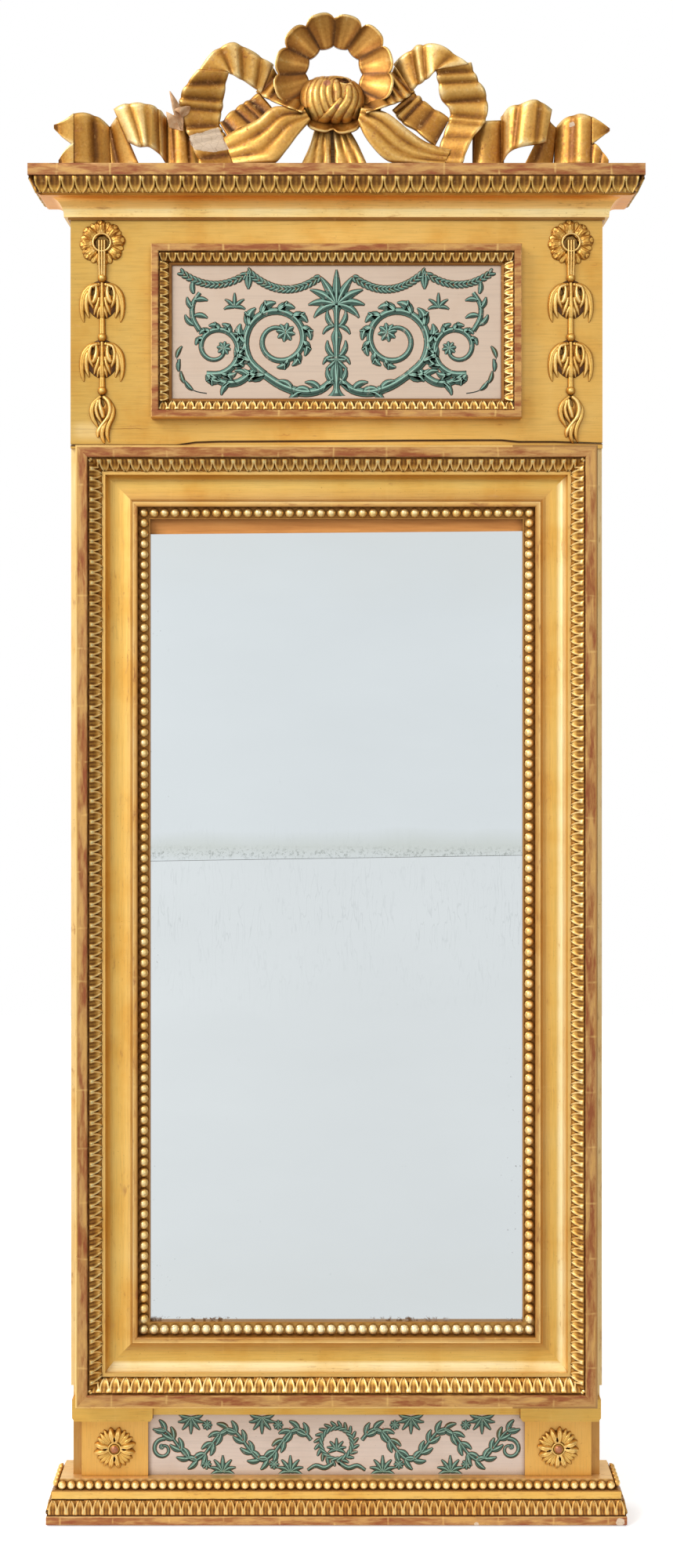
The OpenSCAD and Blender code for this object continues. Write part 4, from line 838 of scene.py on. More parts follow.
# bow of ribbon
RIBBON = ((0.0, "#482808"), (0.20, "#7A4C16"), (0.44, "#B27C30"), (0.70, "#DCAC5C"), (1.0, "#FCE2AA"))
RIBBON_DARK = ((0.0, "#3A2006"), (0.22, "#684014"), (0.46, "#946022"), (0.74, "#C49046"), (1.0, "#F4D898"))
KNOT = ((0.0, "#3E220A"), (0.20, "#704618"), (0.45, "#A46E2C"), (0.72, "#C69446"), (0.92, "#DDB060"),
        (1.0, "#EED090"))
LOST_GESSO = ((-127.4, 25.5), (-101.1, 34.2), (-91.7, 14.1), (-105.1, 11.8), (-121.3, 13))
M["ribbon"] = gilt("gilding_on_carved_ribbon", grain=None, carved=RIBBON, wear=0.34, recess=7, rough=0.36,
                   metal=0.66, bare=(((-128, -52, Z_TOP + 48), 4.5), ((200, -58, Z_TOP + 36), 5)),
                   patch=[(x, Z_TOP + z) for x, z in LOST_GESSO])
M["ribbon_dark"] = gilt("gilding_on_ribbon_rosette", grain=None, carved=RIBBON_DARK, wear=0.24, recess=7,
                        rough=0.36, metal=0.7)
M["knot"] = gilt("burnished_gilding_on_knot", grain=None, carved=KNOT, wear=0.52, recess=5, rough=0.30,
                 metal=0.72, red=(((1.5, -74, Z_TOP + 46), 5.0), ((-8, -70, Z_TOP + 68), 4.0)))

# the ribbon's stretches: at each station x, forwards, up of one edge and then of the other, the heights
# from the cornice's top

LOOP_LEFT = [
    [[-54, 50, 88, -64, 50, 64], [-71, 58, 97, -74, 56, 70], [-87, 66, 102, -85, 63, 75],
     [-103, 68, 96, -91, 66, 77], [-117, 66, 80, -92, 67, 78]],
    [[-117, 66, 80, -92, 66, 78], [-128, 63, 68, -95, 60, 67], [-134, 58, 55, -98, 54, 50],
     [-131, 56, 38, -100, 52, 37], [-123, 58, 18, -93, 54, 23], [-117, 58, 0, -86, 56, 0]],
    [[-66, 48, 65, -52, 50, 48], [-80, 48, 56, -65, 52, 38], [-90, 50, 48, -78, 54, 33],
     [-100, 52, 38, -93, 56, 25]],
    [[-27, 66, 46, -22, 67, 37], [-52, 68, 48, -33, 68, 24], [-68, 66, 37, -42, 68, 12],
     [-81, 64, 32, -54, 66, 0], [-90, 60, 28, -72, 62, 0], [-97, 56, 24, -88, 58, 0]],
    [[-55, 49, 86, -69, 49, 66], [-46, 48, 76, -58, 58, 57], [-38, 48, 66, -45, 69, 48.5],
     [-25, 52, 56, -29, 72, 42]]]
LOOP_RIGHT = [
    [[49, 50, 89, 64, 50, 66], [62, 58, 98, 70, 56, 70], [75, 64, 102, 78, 62, 74],
     [93, 67, 98, 83, 66, 78], [112, 66, 84, 86, 66, 80]],
    [[114, 66, 86, 84, 65, 82], [120, 63, 73, 87, 60, 70], [127, 60, 62, 90, 56, 57],
     [129, 58, 51, 97, 53, 50], [127, 58, 38, 96, 52, 40], [115, 60, 21, 89, 54, 20],
     [107, 60, 0, 85, 56, 0]],
    [[65, 48, 66, 48, 50, 50], [74, 48, 59, 57, 52, 38], [82, 50, 52, 68, 54, 31],
     [97, 52, 42, 84, 56, 17]],
    [[21, 66, 48, 18, 67, 36], [42, 68, 43, 26, 68, 20], [61, 66, 29, 41, 67, 4],
     [74, 62, 21, 57, 64, 0], [88, 58, 16, 78, 60, 0], [98, 57, 14, 92, 58, 0]],
    [[51, 49, 87, 67, 49, 66], [43, 48, 78, 56, 58, 56], [35, 48, 66, 42, 69, 48],
     [21, 52, 54, 25, 72, 41.5]]]
TAIL_LEFT = [
    [[-115, 46, 42, -115, 46, 0], [-127, 50, 44, -127, 50, 0], [-137, 50, 46, -137, 50, 0],
     [-146, 46, 44, -146, 46, 0]],
    [[-146, 48, 44, -146, 48, 3], [-151, 56, 48, -151, 56, 10], [-160, 64, 51, -160, 64, 15],
     [-178, 66, 51, -168, 64, 15], [-190, 62, 47, -178, 60, 20]],
    [[-187, 58, 44, -168, 56, 0], [-190, 52, 40, -178, 50, 0], [-196, 46, 36, -194, 44, 0]],
    [[-195, 46, 36, -194, 44, 0], [-204, 52, 43, -204, 52, 0], [-215, 58, 45, -217, 58, 0],
     [-225, 60, 44, -225, 60, 0]],
    [[-224, 60, 44, -224, 60, 17], [-232, 61, 38, -234, 61, 24], [-241, 62, 34, -241, 62, 31]],
    [[-224, 60, 19, -224, 60, 0], [-231, 61, 13, -231, 61, 0], [-237, 62, 4, -237, 62, 0]]]
TAIL_RIGHT = [
    [[117, 46, 40, 117, 46, 0], [129, 50, 40, 129, 50, 0], [144, 47, 42, 144, 47, 0]],
    [[141, 48, 44, 142, 48, 3], [148, 58, 50, 147, 58, 11], [159, 64, 52, 157, 64, 15],
     [171, 66, 54, 170, 64, 17], [184, 60, 47, 179, 60, 20]],
    [[182, 56, 44, 160, 56, 0], [184, 50, 39, 174, 50, 0], [189, 46, 35, 186, 44, 0]],
    [[188, 46, 35, 187, 44, 0], [196, 52, 42, 196, 52, 0], [207, 58, 44, 208, 58, 0],
     [219, 60, 41, 219, 60, 0]],
    [[218, 60, 41, 218, 60, 18], [226, 61, 36, 226, 61, 24], [233, 62, 31, 233, 62, 29]],
    [[218, 60, 20, 218, 60, 0], [224, 61, 15, 224, 61, 0], [232, 62, 4, 232, 62, 0]]]
TAILS_KNOT = [
    [[-19, 50, 33, -5, 50, 33], [-23, 51, 19, -5, 50.4, 19], [-31, 55, 0, -5, 52, 0]],
    [[-3, 50, 33, 11, 50, 33], [-2, 50.4, 19, 19, 51, 19], [-1, 52, 0, 27, 55, 0]]]


def smooth(points, s):
    """The curve through a list of points (any number of values each), at s counted in points."""
    n = len(points) - 1
    i = min(int(s), n - 1)
    t = s - i
    a, b, c, d = (np.array(points[k], float) for k in (max(i - 1, 0), i, i + 1, min(i + 2, n)))
    bend, twist = 2 * a - 5 * b + 4 * c - d, 3 * b - a - 3 * c + d
    return 0.5 * (2 * b + (c - a) * t + bend * t * t + twist * t ** 3)


RIBBON_T, ROSETTE_T = 3.2, 4.6          # thickness of the carved ribbon and of its rosette
MID_X, MID_Z = -2.2, Z_TOP + 78         # middle of the rosette
FOREMOST_Y = -72.9                      # carving stands no further forward than this


def fold_lines(rnd, length, every):
    """Fold lines at uneven distances along a ribbon, each with its height."""
    lines, x = [], rnd.uniform(-0.7, 0) * every
    while x < length + 2 * every:
        lines.append((x, rnd.uniform(0.35, 1.0)))
        x += every * rnd.uniform(0.45, 1.7)
    return lines


def fold_at(lines, d):
    """How far a fold stands out at a distance: a broad swell and then a short, shallower hollow."""
    swell = 0.72
    for (start, high), (end, _) in zip(lines, lines[1:]):
        if start <= d < end:
            f = (d - start) / (end - start)
            if f < swell:
                return high * math.sin(math.pi * min(1, f / swell) ** 0.8)
            return high * -0.7 * math.sin(math.pi * (f - swell) / (1 - swell))
    return 0.0


def ribbon(b, stations, seed, shade, gathered, pleat=1.45, every=12.0, ruffle=0.45):
    """A carved ribbon ruled between two edges: folds run from edge to edge at uneven spacing, the
    edges ripple with them and have a thin rim. gathered gives folds along the length instead."""
    rnd = random.Random(seed)
    per, across = 12, 10
    n = (len(stations) - 1) * per
    line = [smooth(stations, i / per) for i in range(n + 1)]
    mids = [Vector(((q[0] + q[3]) / 2, -(q[1] + q[4]) / 2, (q[2] + q[5]) / 2)) for q in line]
    gone = [0.0]
    for before, after in zip(mids, mids[1:]):
        gone.append(gone[-1] + (after - before).length)
    folds = fold_lines(rnd, gone[-1], every)
    rows, lifts = [], []
    for i, q in enumerate(line):
        a, c = Vector((q[0], -q[1], max(0, q[2]))), Vector((q[3], -q[4], max(0, q[5])))
        w = c - a
        row, lift = [], []
        for j in range(across + 1):
            t = j / across
            if gathered:
                wave = math.sin(math.pi * (t + 0.05 * math.sin(5 * i / n)) * gathered)
                fold = abs(wave) ** 0.7 * 1.6 - 0.8
            else:
                fold = fold_at(folds, gone[i] + (t - 0.5) * 2.5)
            rim = 1.0 if j in (0, across) else 0.35 if j in (1, across - 1) else 0.0
            p = a + w * t
            if w.length > 6 and not gathered and j in (0, across):
                p += w.normalized() * ruffle * fold * (-1 if j == 0 else 1)
            ends = 0.25 if i in (0, n) else 1.0
            p.y = max(FOREMOST_Y, p.y - pleat * fold * ends - 0.35 * rim)
            row.append((p.x, p.y, max(0.05, p.z) + Z_TOP))
            # lift: painted highlight on fold crests and rims, painted shade in the folds' hollows, less the
            # stretch's painted shade
            lift.append(max(0.0, min(1.0, 0.46 + 0.38 * fold + 0.34 * rim - shade)))
        rows.append(row)
        lifts.append(lift)
    b.sheet(rows, lifts, back=lambda p: (p[0], p[1] + RIBBON_T, p[2]))


def ribbon_node(name, stands_for, stretches, seed, shades, gathers=(0,) * 6, **look):
    """All stretches of one part of the bow as one piece; shades, the painted shade of each stretch, and
    gathers go with the stretches.
    """
    b = Build()
    for k, stations in enumerate(stretches):
        ribbon(b, stations, seed * 10 + k, shades[k], gathers[k], **look)
    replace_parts(b.make(name, M["ribbon"]), stands_for)


GATHERED = (0, 0, 0, 3, 0)
ribbon_node("ribbon_loop_left", "bow_loop_left", LOOP_LEFT, 1, (-0.10, 0.17, 0.32, 0.09, 0.14), GATHERED,
            ruffle=0.8)
ribbon_node("ribbon_loop_right", "bow_loop_right", LOOP_RIGHT, 2, (-0.04, 0.08, 0.22, 0.02, 0.12), GATHERED,
            ruffle=0.8)
ribbon_node("ribbon_tail_carved_left", "ribbon_tail_left", TAIL_LEFT, 3,
            (0.12, -0.10, 0.16, 0.14, 0.06, 0.05), every=16.0, pleat=1.3)
ribbon_node("ribbon_tail_carved_right", "ribbon_tail_right", TAIL_RIGHT, 4,
            (0.10, 0.02, 0.22, 0.15, 0.18, 0.14), every=17.0, pleat=1.3)
ribbon_node("ribbon_ends_under_knot", "knot_tails", TAILS_KNOT, 5, (0, 0), (3, 3), pleat=1.3)

# edges of the loose gesso's shards, x and height over the cornice: left edge, right edge
SHARDS = ((((-142.6, 62.6), (-140.5, 52), (-138.6, 43), (-133.5, 31)),
           ((-140.8, 61.2), (-135.5, 54), (-130.8, 44), (-131.2, 29.5))),
          (((-145.1, 45.3), (-144.4, 39), (-142.6, 32.2)), ((-137, 40.2), (-131.7, 35.1), (-130.8, 29.2))),
          (((-139.6, 46.5), (-134, 43.4), (-132.2, 40.6)), ((-131, 49.0), (-124.9, 50.4), (-126.3, 44.0))))


def flake():
    """Shards of broken gesso that stand off the left loop."""
    b = Build()
    long, wide = 10, 6
    for edges in SHARDS:
        rows = []
        for i in range(long + 1):
            a, c = (smooth(e, i / long * (len(e) - 1)) for e in edges)
            rows.append([(a[0] + (c[0] - a[0]) * t, -62 - 3.2 * math.sin(2.4 * t + 0.35 * i),
                          Z_TOP + a[1] + (c[1] - a[1]) * t) for t in np.linspace(0, 1, wide)])
        b.sheet(rows, [[0.6] * wide] * (long + 1), back=lambda p: (p[0], p[1] + 1.0, p[2]))
    s = Shade("loose_gesso_flake")
    n = s.noise(4, detail=4)
    gesso = s.ramp(n, (0.3, "#C08C5E"), (0.7, "#E0BC93"))
    b.make("loose_flake_left_loop", s.finish(gesso, s.ramp(n, (0.2, 0.7), (0.8, 0.9)), None, n, 0.1, 0.4))


flake()


def rosette_ribbon():
    """The round of pleated ribbon behind the knot: funnel lobes with a rim and a crease between them."""
    b = Build()
    lobes, per, rings = 12, 12, 12
    rows, lifts = [], []
    for i in range(rings + 1):
        t = i / rings
        row, lift = [], []
        for j in range(lobes * per):
            f = (j % per) / per
            k = j // per
            bulge = abs(math.sin(math.pi * f))
            edge = 51.6 - 4.8 * (1 - bulge) ** 2 + 0.8 * math.sin(k * 2.3)
            hole = 24.6 - 2.2 * bulge ** 0.7 + 0.7 * math.sin(k * 3.1)
            r = hole + (edge - hole) * t
            a = math.radians(30 * (j / per) + 1.2 * math.sin(3 * t + k))
            scoop = 12 * t ** 1.15 + 2.6 * t * (bulge ** 0.6 - 0.6) - 1.8 * math.sin(math.pi * t) * bulge
            rimmed = 0.9 * max(0, (t - 0.93) / 0.07)
            z = MID_Z + 3.0 * (1 - t) + r * math.sin(a)
            row.append((MID_X + r * math.cos(a), -50 - scoop - rimmed, z))
            # lift: painted highlight on each lobe's swell, its outer rim and the hole's edge, painted shade
            # at the creases
            side = 0.10 * math.sin(math.pi * (2 * f - 0.5))
            side += 0.09 * math.sin(6 * math.pi * f + k) * (1 - 0.5 * t)
            rims = 0.55 * max(0, (t - 0.95) / 0.05) + 0.2 * (t < 0.06)
            lift.append(max(0, min(1, 0.16 + 0.36 * bulge ** 0.5 + 0.16 * t + side + rims)))
        rows.append(row)
        lifts.append(lift)
    b.sheet(rows, lifts, back=lambda p: (p[0], p[1] + ROSETTE_T, p[2]), round_=True)
    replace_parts(b.make("ribbon_rosette_carved", M["ribbon_dark"]), "ribbon_rosette")


rosette_ribbon()


# relief ornament on the flat boards
RELIEF = ((0.0, "#472A0C"), (0.14, "#7A4E1E"), (0.32, "#B47E34"), (0.56, "#D6A650"), (0.80, "#E6BE6C"),
          (1.0, "#F4D698"))
SIDES = ((-1, "left"), (1, "right"))
PEDESTAL_X, PEDESTAL_Z = 191.6, 60.5    # middle of a pedestal's rosette
BOSSES = [((side * PEDESTAL_X, FRAME_Y - 10, PEDESTAL_Z), 4.4) for side, _ in SIDES]
M["relief"] = gilt("gilding_on_husks_and_rosettes", grain=None, carved=RELIEF, wear=0.15, recess=1.4,
                   rough=0.36, red=BOSSES)
SINK = 0.45                             # how far a carving's edge is let into its board


def lobe_relief(X, Z, spine, dip, veins, bright):
    """Height and lift of one lobe over the whole grid; beside the lobe its height falls below 0."""
    long = sum(math.dist(p[:2], q[:2]) for p, q in zip(spine, spine[1:]))
    if long:
        stops = np.linspace(0, len(spine) - 1, max(3, int(long / 0.6)))
        line = np.array([smooth(spine, s) for s in stops])
    else:
        line = np.array([spine[0]] * 2, float)
    way = np.gradient(line[:, :2], axis=0)
    way = way / np.maximum(1e-6, np.linalg.norm(way, axis=1))[:, None]
    near, wide = np.full(X.shape, 99.0), np.ones(X.shape)
    high, off = np.zeros(X.shape), np.zeros(X.shape)
    for (px, pz, w, h), (dx, dz) in zip(line, way):
        w = max(w * 1.12, 0.3)
        q = np.hypot(X - px, Z - pz) / w
        m = q < near
        near[m], high[m], wide[m] = q[m], max(h, 0.4), w
        off[m] = (((X - px) * dz - (Z - pz) * dx) / w)[m]
    crown = np.clip(1 - near ** 2.2, 0, 1) ** 0.55
    hollow = dip * np.clip(1 - (near / 0.74) ** 2, 0, 1)
    groove = 0 * near
    if veins:
        groove = (0.5 + 0.5 * np.cos(math.pi * (veins + 1) * (off + 1))) ** 3 * (near < 0.9)
    h = np.where(near < 1, high * crown * (1 - hollow) * (1 - 0.10 * groove), -(near - 1) * wide * 1.6)
    # lift: painted highlight on the crown, painted shade in the hollow and the grooves
    return h, bright + 0.08 + 0.80 * crown ** 0.9 * (1 - 1.1 * hollow) - 0.34 * groove


def carve(b, cx, cz, ground, lobes, cuts=(), step=0.36, over=None):
    """One carved relief: at each point of a fine grid, the highest of the lobes that cover it. A lobe is
    (spine, dip, veins, bright): its spine is a list of (x, z, half width, height), dip hollows it between
    raised rims and veins are grooves along it. A cut is a drop-shaped hollow: x, z, half width, half
    length, lean in degrees. over(x, z) is a body under them all, such as a knot's. Valleys, edges and cuts
    get a low lift, painted shade along with the old size in them; a cut's rim gets a painted highlight,
    and a knot painted shade towards its edge."""
    pts = [p for lobe in lobes for p in lobe[0]]
    x = np.arange(min(p[0] - p[2] for p in pts) - 1, max(p[0] + p[2] for p in pts) + 1, step)
    z = np.arange(min(p[1] - p[2] for p in pts) - 1, max(p[1] + p[2] for p in pts) + 1, step)
    X, Z = np.meshgrid(x, z)
    best, second, lift = np.full(X.shape, -9.0), np.full(X.shape, -9.0), np.zeros(X.shape)
    for lobe in lobes:
        h, tone = lobe_relief(X, Z, *lobe)
        m = h > best
        second = np.where(m, best, np.maximum(second, h))
        best, lift = np.where(m, h, best), np.where(m, tone, lift)
    t = np.clip((best - np.maximum(second, -0.4)) / 1.1, 0, 1)
    lift = lift * (0.40 + 0.60 * t * t * (3 - 2 * t))
    for px, pz, wide, tall, lean in cuts:
        c, s = math.cos(math.radians(lean)), math.sin(math.radians(lean))
        v = (-(X - px) * s + (Z - pz) * c) / tall
        q = np.hypot(((X - px) * c + (Z - pz) * s) / wide * (1 + 0.35 * v), v)
        best = best - 2.8 * np.clip(1 - q ** 2, 0, 1) ** 0.6
        lift = np.where(q < 1, 0.0, lift + 0.22 * np.exp(-((q - 1.3) / 0.22) ** 2))
    if over is not None:
        body = over(X, Z)
        best = np.where(body > 0, body + np.maximum(best, -0.3) * np.clip(body / 4, 0, 1), body)
        lift = lift * np.clip(0.25 + body / 9, 0, 1)
    solid = best > -SINK
    cells = np.argwhere(solid[:-1, :-1] | solid[1:, :-1] | solid[:-1, 1:] | solid[1:, 1:])
    best, lift = np.maximum(best, -SINK), np.clip(lift, 0, 1)
    index = {}

    def at(i, j):
        """The number of the point in front; the one behind it is the next."""
        if (i, j) not in index:
            index[i, j] = len(b.v)
            at_x, at_z = cx + X[i, j], cz + Z[i, j]
            b.v += [(at_x, ground - best[i, j], at_z), (at_x, ground + SINK + 0.1, at_z)]
            b.l += [float(lift[i, j]), 0.0]
        return index[i, j]

    front = [(at(i, j), at(i, j + 1), at(i + 1, j + 1), at(i + 1, j)) for i, j in cells]
    edges = {(f[k], f[(k + 1) % 4]) for f in front for k in range(4)}
    b.f += front + [tuple(k + 1 for k in reversed(f)) for f in front]
    b.f += [(q, p, p + 1, q + 1) for p, q in edges if (q, p) not in edges]


def whole_turn(n):
    """n even steps of a full turn, in radians."""
    return np.linspace(0, 2 * math.pi, n, endpoint=False)


def dome(b, x, z, ground, r, rise, low=0.15):
    """A ball's front half, painted lighter towards its top as a highlight."""
    n, rings = 20, 7
    rows = []
    for k in range(rings + 1):
        q = max(0.02, 1 - (k / rings) ** 1.3)
        y = ground - r * rise * (1 - q * q) ** 0.5 - 0.01
        rows.append([(x + r * math.cos(a) * q, y, z + r * math.sin(a) * q) for a in whole_turn(n)])
    lifts = [[low + 0.8 * (k / rings)] * n for k in range(rings + 1)]
    b.sheet(rows, lifts, back=lambda p: (p[0], ground + 0.05, p[2]), round_=True)


def ring_of(b, cx, cz, y, big, small, n=36, m=10, lift=0.7):
    """A thin ring that lies on its board, painted lighter on its front as a highlight."""
    rows = []
    for a in np.linspace(0, 2 * math.pi, n + 1):
        reach = [(big + small * math.cos(u), y - small * math.sin(u) * 1.2) for u in whole_turn(m)]
        rows.append([(cx + r * math.cos(a), front, cz + r * math.sin(a)) for r, front in reach])
    lifts = [[lift + 0.25 * math.sin(u) for u in whole_turn(m)] for _ in rows]
    b.sheet(rows, lifts, round_=True)


def ray(angle, *points):
    """A lobe's spine that runs outwards at an angle: points are (radius, half width, height)."""
    a = math.radians(angle)
    return [(r * math.cos(a), r * math.sin(a), w, h) for r, w, h in points]


def flipped(spine):
    """A spine mirrored left to right."""
    return [(-p[0], *p[1:]) for p in spine]


# a bell of leaves, from its ball at 0, 0: each half has a shoulder leaf with two fingers, a rim and a
# full drop beside the dark eye, and a low finger; the ribbed middle leaf ends in three points
HALF_BELL = [
    ([(3.0, -5.0, 1.6, 2.6), (9.6, -7.0, 2.4, 3.6), (15.2, -13.0, 2.5, 4.0), (17.1, -20.5, 2.4, 3.6),
      (17.5, -27.5, 1.9, 3.0), (16.8, -33.0, 1.5, 2.2), (15.9, -37.2, 0.4, 1.0)], 0.0, 1, 0.0),
    ([(10.4, -9.5, 1.8, 3.6), (12.8, -15.0, 2.1, 4.0), (13.6, -21.0, 2.1, 3.8), (13.3, -27.0, 1.8, 3.0),
      (12.0, -31.5, 1.0, 2.0), (11.5, -33.6, 0.4, 1.0)], 0.0, 0, 0.02),
    ([(4.6, -5.6, 1.5, 4.2), (8.9, -7.4, 1.9, 4.8), (10.9, -12.6, 1.9, 5.0), (10.4, -18.8, 1.8, 4.8),
      (8.7, -23.2, 1.2, 3.4), (7.7, -25.2, 0.5, 2.0)], 0.0, 0, 0.03),
    ([(4.9, -7.4, 1.3, 4.6), (4.7, -12.0, 2.0, 5.2), (5.5, -16.6, 2.5, 5.8), (7.2, -20.2, 1.9, 5.2)],
     0.0, 0, 0.06),
    ([(2.6, -17.0, 1.3, 4.2), (3.9, -22.6, 1.8, 4.6), (5.6, -27.2, 1.6, 3.8), (6.9, -31.0, 0.5, 1.6)],
     0.0, 0, 0.02)]
MIDDLE_LEAF = [
    ([(0, -4.0, 1.3, 3.6), (0, -12.0, 1.5, 4.6), (0, -20.0, 1.8, 5.2), (0, -26.5, 2.5, 5.4),
      (0, -31.0, 2.4, 4.6), (0, -34.5, 1.5, 3.2), (0, -37.0, 0.5, 1.4)], 0.0, 1, 0.05),
    ([(1.2, -24.0, 1.2, 4.6), (3.1, -29.0, 1.5, 4.2), (4.0, -33.4, 0.6, 2.0)], 0.0, 0, 0.03),
    ([(-1.2, -24.0, 1.2, 4.6), (-3.1, -29.0, 1.5, 4.2), (-4.0, -33.4, 0.6, 2.0)], 0.0, 0, 0.03)]
BELL_GROUND = [
    ([(0, -9.0, 6.5, 1.4), (0, -14.0, 11.5, 1.6), (0, -19.0, 12.5, 1.5), (0, -23.0, 10.5, 1.2)],
     0.0, 0, -0.55)]
BELL = BELL_GROUND + HALF_BELL + [(flipped(s), d, v, c) for s, d, v, c in HALF_BELL] + MIDDLE_LEAF
BELL_EYES = [(7.9, -11.2, 1.25, 3.4, -8), (-7.9, -11.2, 1.25, 3.4, 8)]
LAST_HUSK = [
    ([(0.4, -13.0, 6.5, 1.4), (0.0, -20.0, 5.0, 1.3)], 0.0, 0, -0.55),
    ([(-1.6, -4.6, 1.2, 3.0), (-7.2, -10.6, 1.9, 4.0), (-9.0, -17.0, 2.1, 4.2), (-7.8, -23.2, 1.9, 3.8),
      (-5.2, -28.0, 1.3, 2.8), (-3.8, -31.2, 0.4, 1.2)], 0.0, 1, 0.0),
    ([(-3.4, -8.0, 1.4, 4.2), (-5.1, -14.6, 1.7, 4.6), (-4.0, -20.6, 1.8, 4.4), (-1.6, -25.0, 1.3, 3.4),
      (-0.3, -27.4, 0.4, 1.6)], 0.0, 0, 0.02),
    ([(-1.9, -7.6, 1.2, 4.6), (-1.6, -12.4, 1.9, 5.2), (-0.2, -17.4, 2.3, 5.8), (0.9, -21.8, 1.7, 5.0)],
     0.0, 0, 0.06),
    ([(1.6, -5.0, 1.6, 3.8), (5.4, -9.0, 2.2, 4.8), (7.0, -15.0, 2.4, 5.2), (5.8, -20.8, 2.1, 4.8),
      (2.7, -25.6, 1.8, 4.2), (-0.9, -30.2, 1.8, 3.8), (-3.4, -34.8, 1.8, 3.4), (-3.7, -38.8, 0.9, 2.0)],
     0.0, 0, 0.04),
    ([(6.6, -8.6, 1.2, 3.0), (9.5, -15.0, 1.6, 3.8), (9.0, -21.6, 1.8, 4.0), (6.2, -27.8, 1.9, 4.0),
      (4.5, -33.2, 1.9, 3.8), (4.4, -38.6, 1.6, 3.0), (6.0, -43.4, 0.5, 1.4)], 0.0, 1, 0.0),
    ([(3.4, -26.0, 1.6, 3.6), (0.9, -31.8, 2.0, 4.0), (-0.1, -37.4, 1.9, 3.6), (1.0, -42.0, 1.4, 2.6),
      (1.9, -44.4, 0.5, 1.2)], 0.0, 1, 0.03)]
LAST_EYE = [(0.5, -10.0, 1.2, 3.4, 12)]
PETAL_ANGLES = (96, 50, 8, -38, -90, -140, -176, 142)
ROSETTE_GRID, KNOT_GRID = 0.40, 0.45    # grids a little wider than usual


def husk_drop(side, hand):
    """Rosette, ring and strap, two bells of leaves, balls and a last husk with an S-curved tail."""
    b = Build()
    rnd = random.Random(7)
    x0, z0, g = side * 202.5, 1121.0 - 19.8, FASCIA_Y
    lobes = [([(0, 0, 8.2, 1.2)], 0.0, 0, -0.8)]
    for a in PETAL_ANGLES:
        lobes.append((ray(a + 23, (11, 1.6, 2.0), (15.5, 2.6, 2.2), (17.9, 1.2, 1.4)), 0.0, 1, -0.05))
        w = 1.0 + rnd.uniform(-0.06, 0.08)
        petal = ray(a, (8.6, 3.0 * w, 3.4), (12.0, 4.4 * w, 4.6), (14.6, 4.6 * w, 4.8), (16.0, 3.4 * w, 3.4))
        lobes.append((petal, 0.10, 3, 0.0))
        for d in (-9, 9):
            lobes.append((ray(a + d, (12, 2.0, 4.2), (15.8, 2.3, 4.2), (17.5, 1.5 * w, 2.6)), 0.0, 1, 0.02))
    carve(b, x0, z0, g, lobes, cuts=[(0, 0, 7.0, 7.0, 0)], step=ROSETTE_GRID)
    ring_of(b, x0, z0, g - 4.4, 7.6, 0.85)
    strands = [([(k * 2.3, 1.6, 1.15, 5.6), (k * 2.3, -8, 1.2, 5.8), (k * 2.2, -19, 1.2, 5.2),
                 (k * 2.0, -28.5, 1.2, 4.0)], 0.0, 0, 0.05) for k in (-1, 0, 1)]
    carve(b, x0, z0, g, strands)
    for z in (-31.4, -82.6, -128.7):
        dome(b, x0, z0 + z + 1.1, g, 4.1, rise=1.3)
    for z, end in ((-66, -80), (-117, -126)):
        carve(b, x0, z0, g, [([(0, z, 2.3, 3.4), (0, end, 2.5, 3.4)], 0.0, 1, 0.0)])
    for z in (-30.9, -82.1):
        carve(b, x0, z0 + z, g, BELL, BELL_EYES)
    carve(b, x0, z0 - 128.2, g, LAST_HUSK, LAST_EYE)
    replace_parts(b.make("husk_drop_carved_" + hand, M["relief"]), "husk_drop_" + hand)


def pedestal_rosette(side, hand):
    """Four pairs of long petals with an eye between them, fans of three in the corners, a worn boss."""
    b = Build()
    rnd = random.Random(11 + side)
    cx, cz, g = side * PEDESTAL_X, PEDESTAL_Z, FRAME_Y - 4.4
    lobes, eyes = [([(0, 0, 13.5, 1.2)], 0.0, 0, -0.5)], []
    for k in range(4):
        mid = 90 * k + (8 if side > 0 else 0)
        for d in (31, 45, 59):
            r = 16.9 + rnd.uniform(-0.5, 0.7)
            fan = ray(mid + d, (6.5, 1.3, 2.8), (11, 2.0, 3.8), (14.2, 1.8, 3.4), (r, 0.7, 1.6))
            lobes.append((fan, 0.0, 1, -0.02))
        for d in (-12.5, 12.5):
            r = 17.0 + rnd.uniform(-0.4, 0.5)
            petal = ray(mid + d, (5.6, 1.6, 4.4), (9.6, 2.6, 6.2), (13.4, 2.6, 6.0), (r, 1.0, 3.0))
            lobes.append((petal, 0.0, 1, 0.05))
        a = math.radians(mid)
        eyes.append((8.4 * math.cos(a), 8.4 * math.sin(a), 0.9, 1.9, mid - 90))
    carve(b, cx, cz, g, lobes, eyes)
    dome(b, cx, cz, g, 5.0, rise=1.25, low=0.3)
    ring_of(b, cx, cz, g - 3.2, 5.2, 0.7, n=24, m=8, lift=0.6)
    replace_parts(b.make("pedestal_rosette_carved_" + hand, M["relief"]), "pedestal_rosette_" + hand)


for side, hand in SIDES:
    husk_drop(side, hand)
    pedestal_rosette(side, hand)


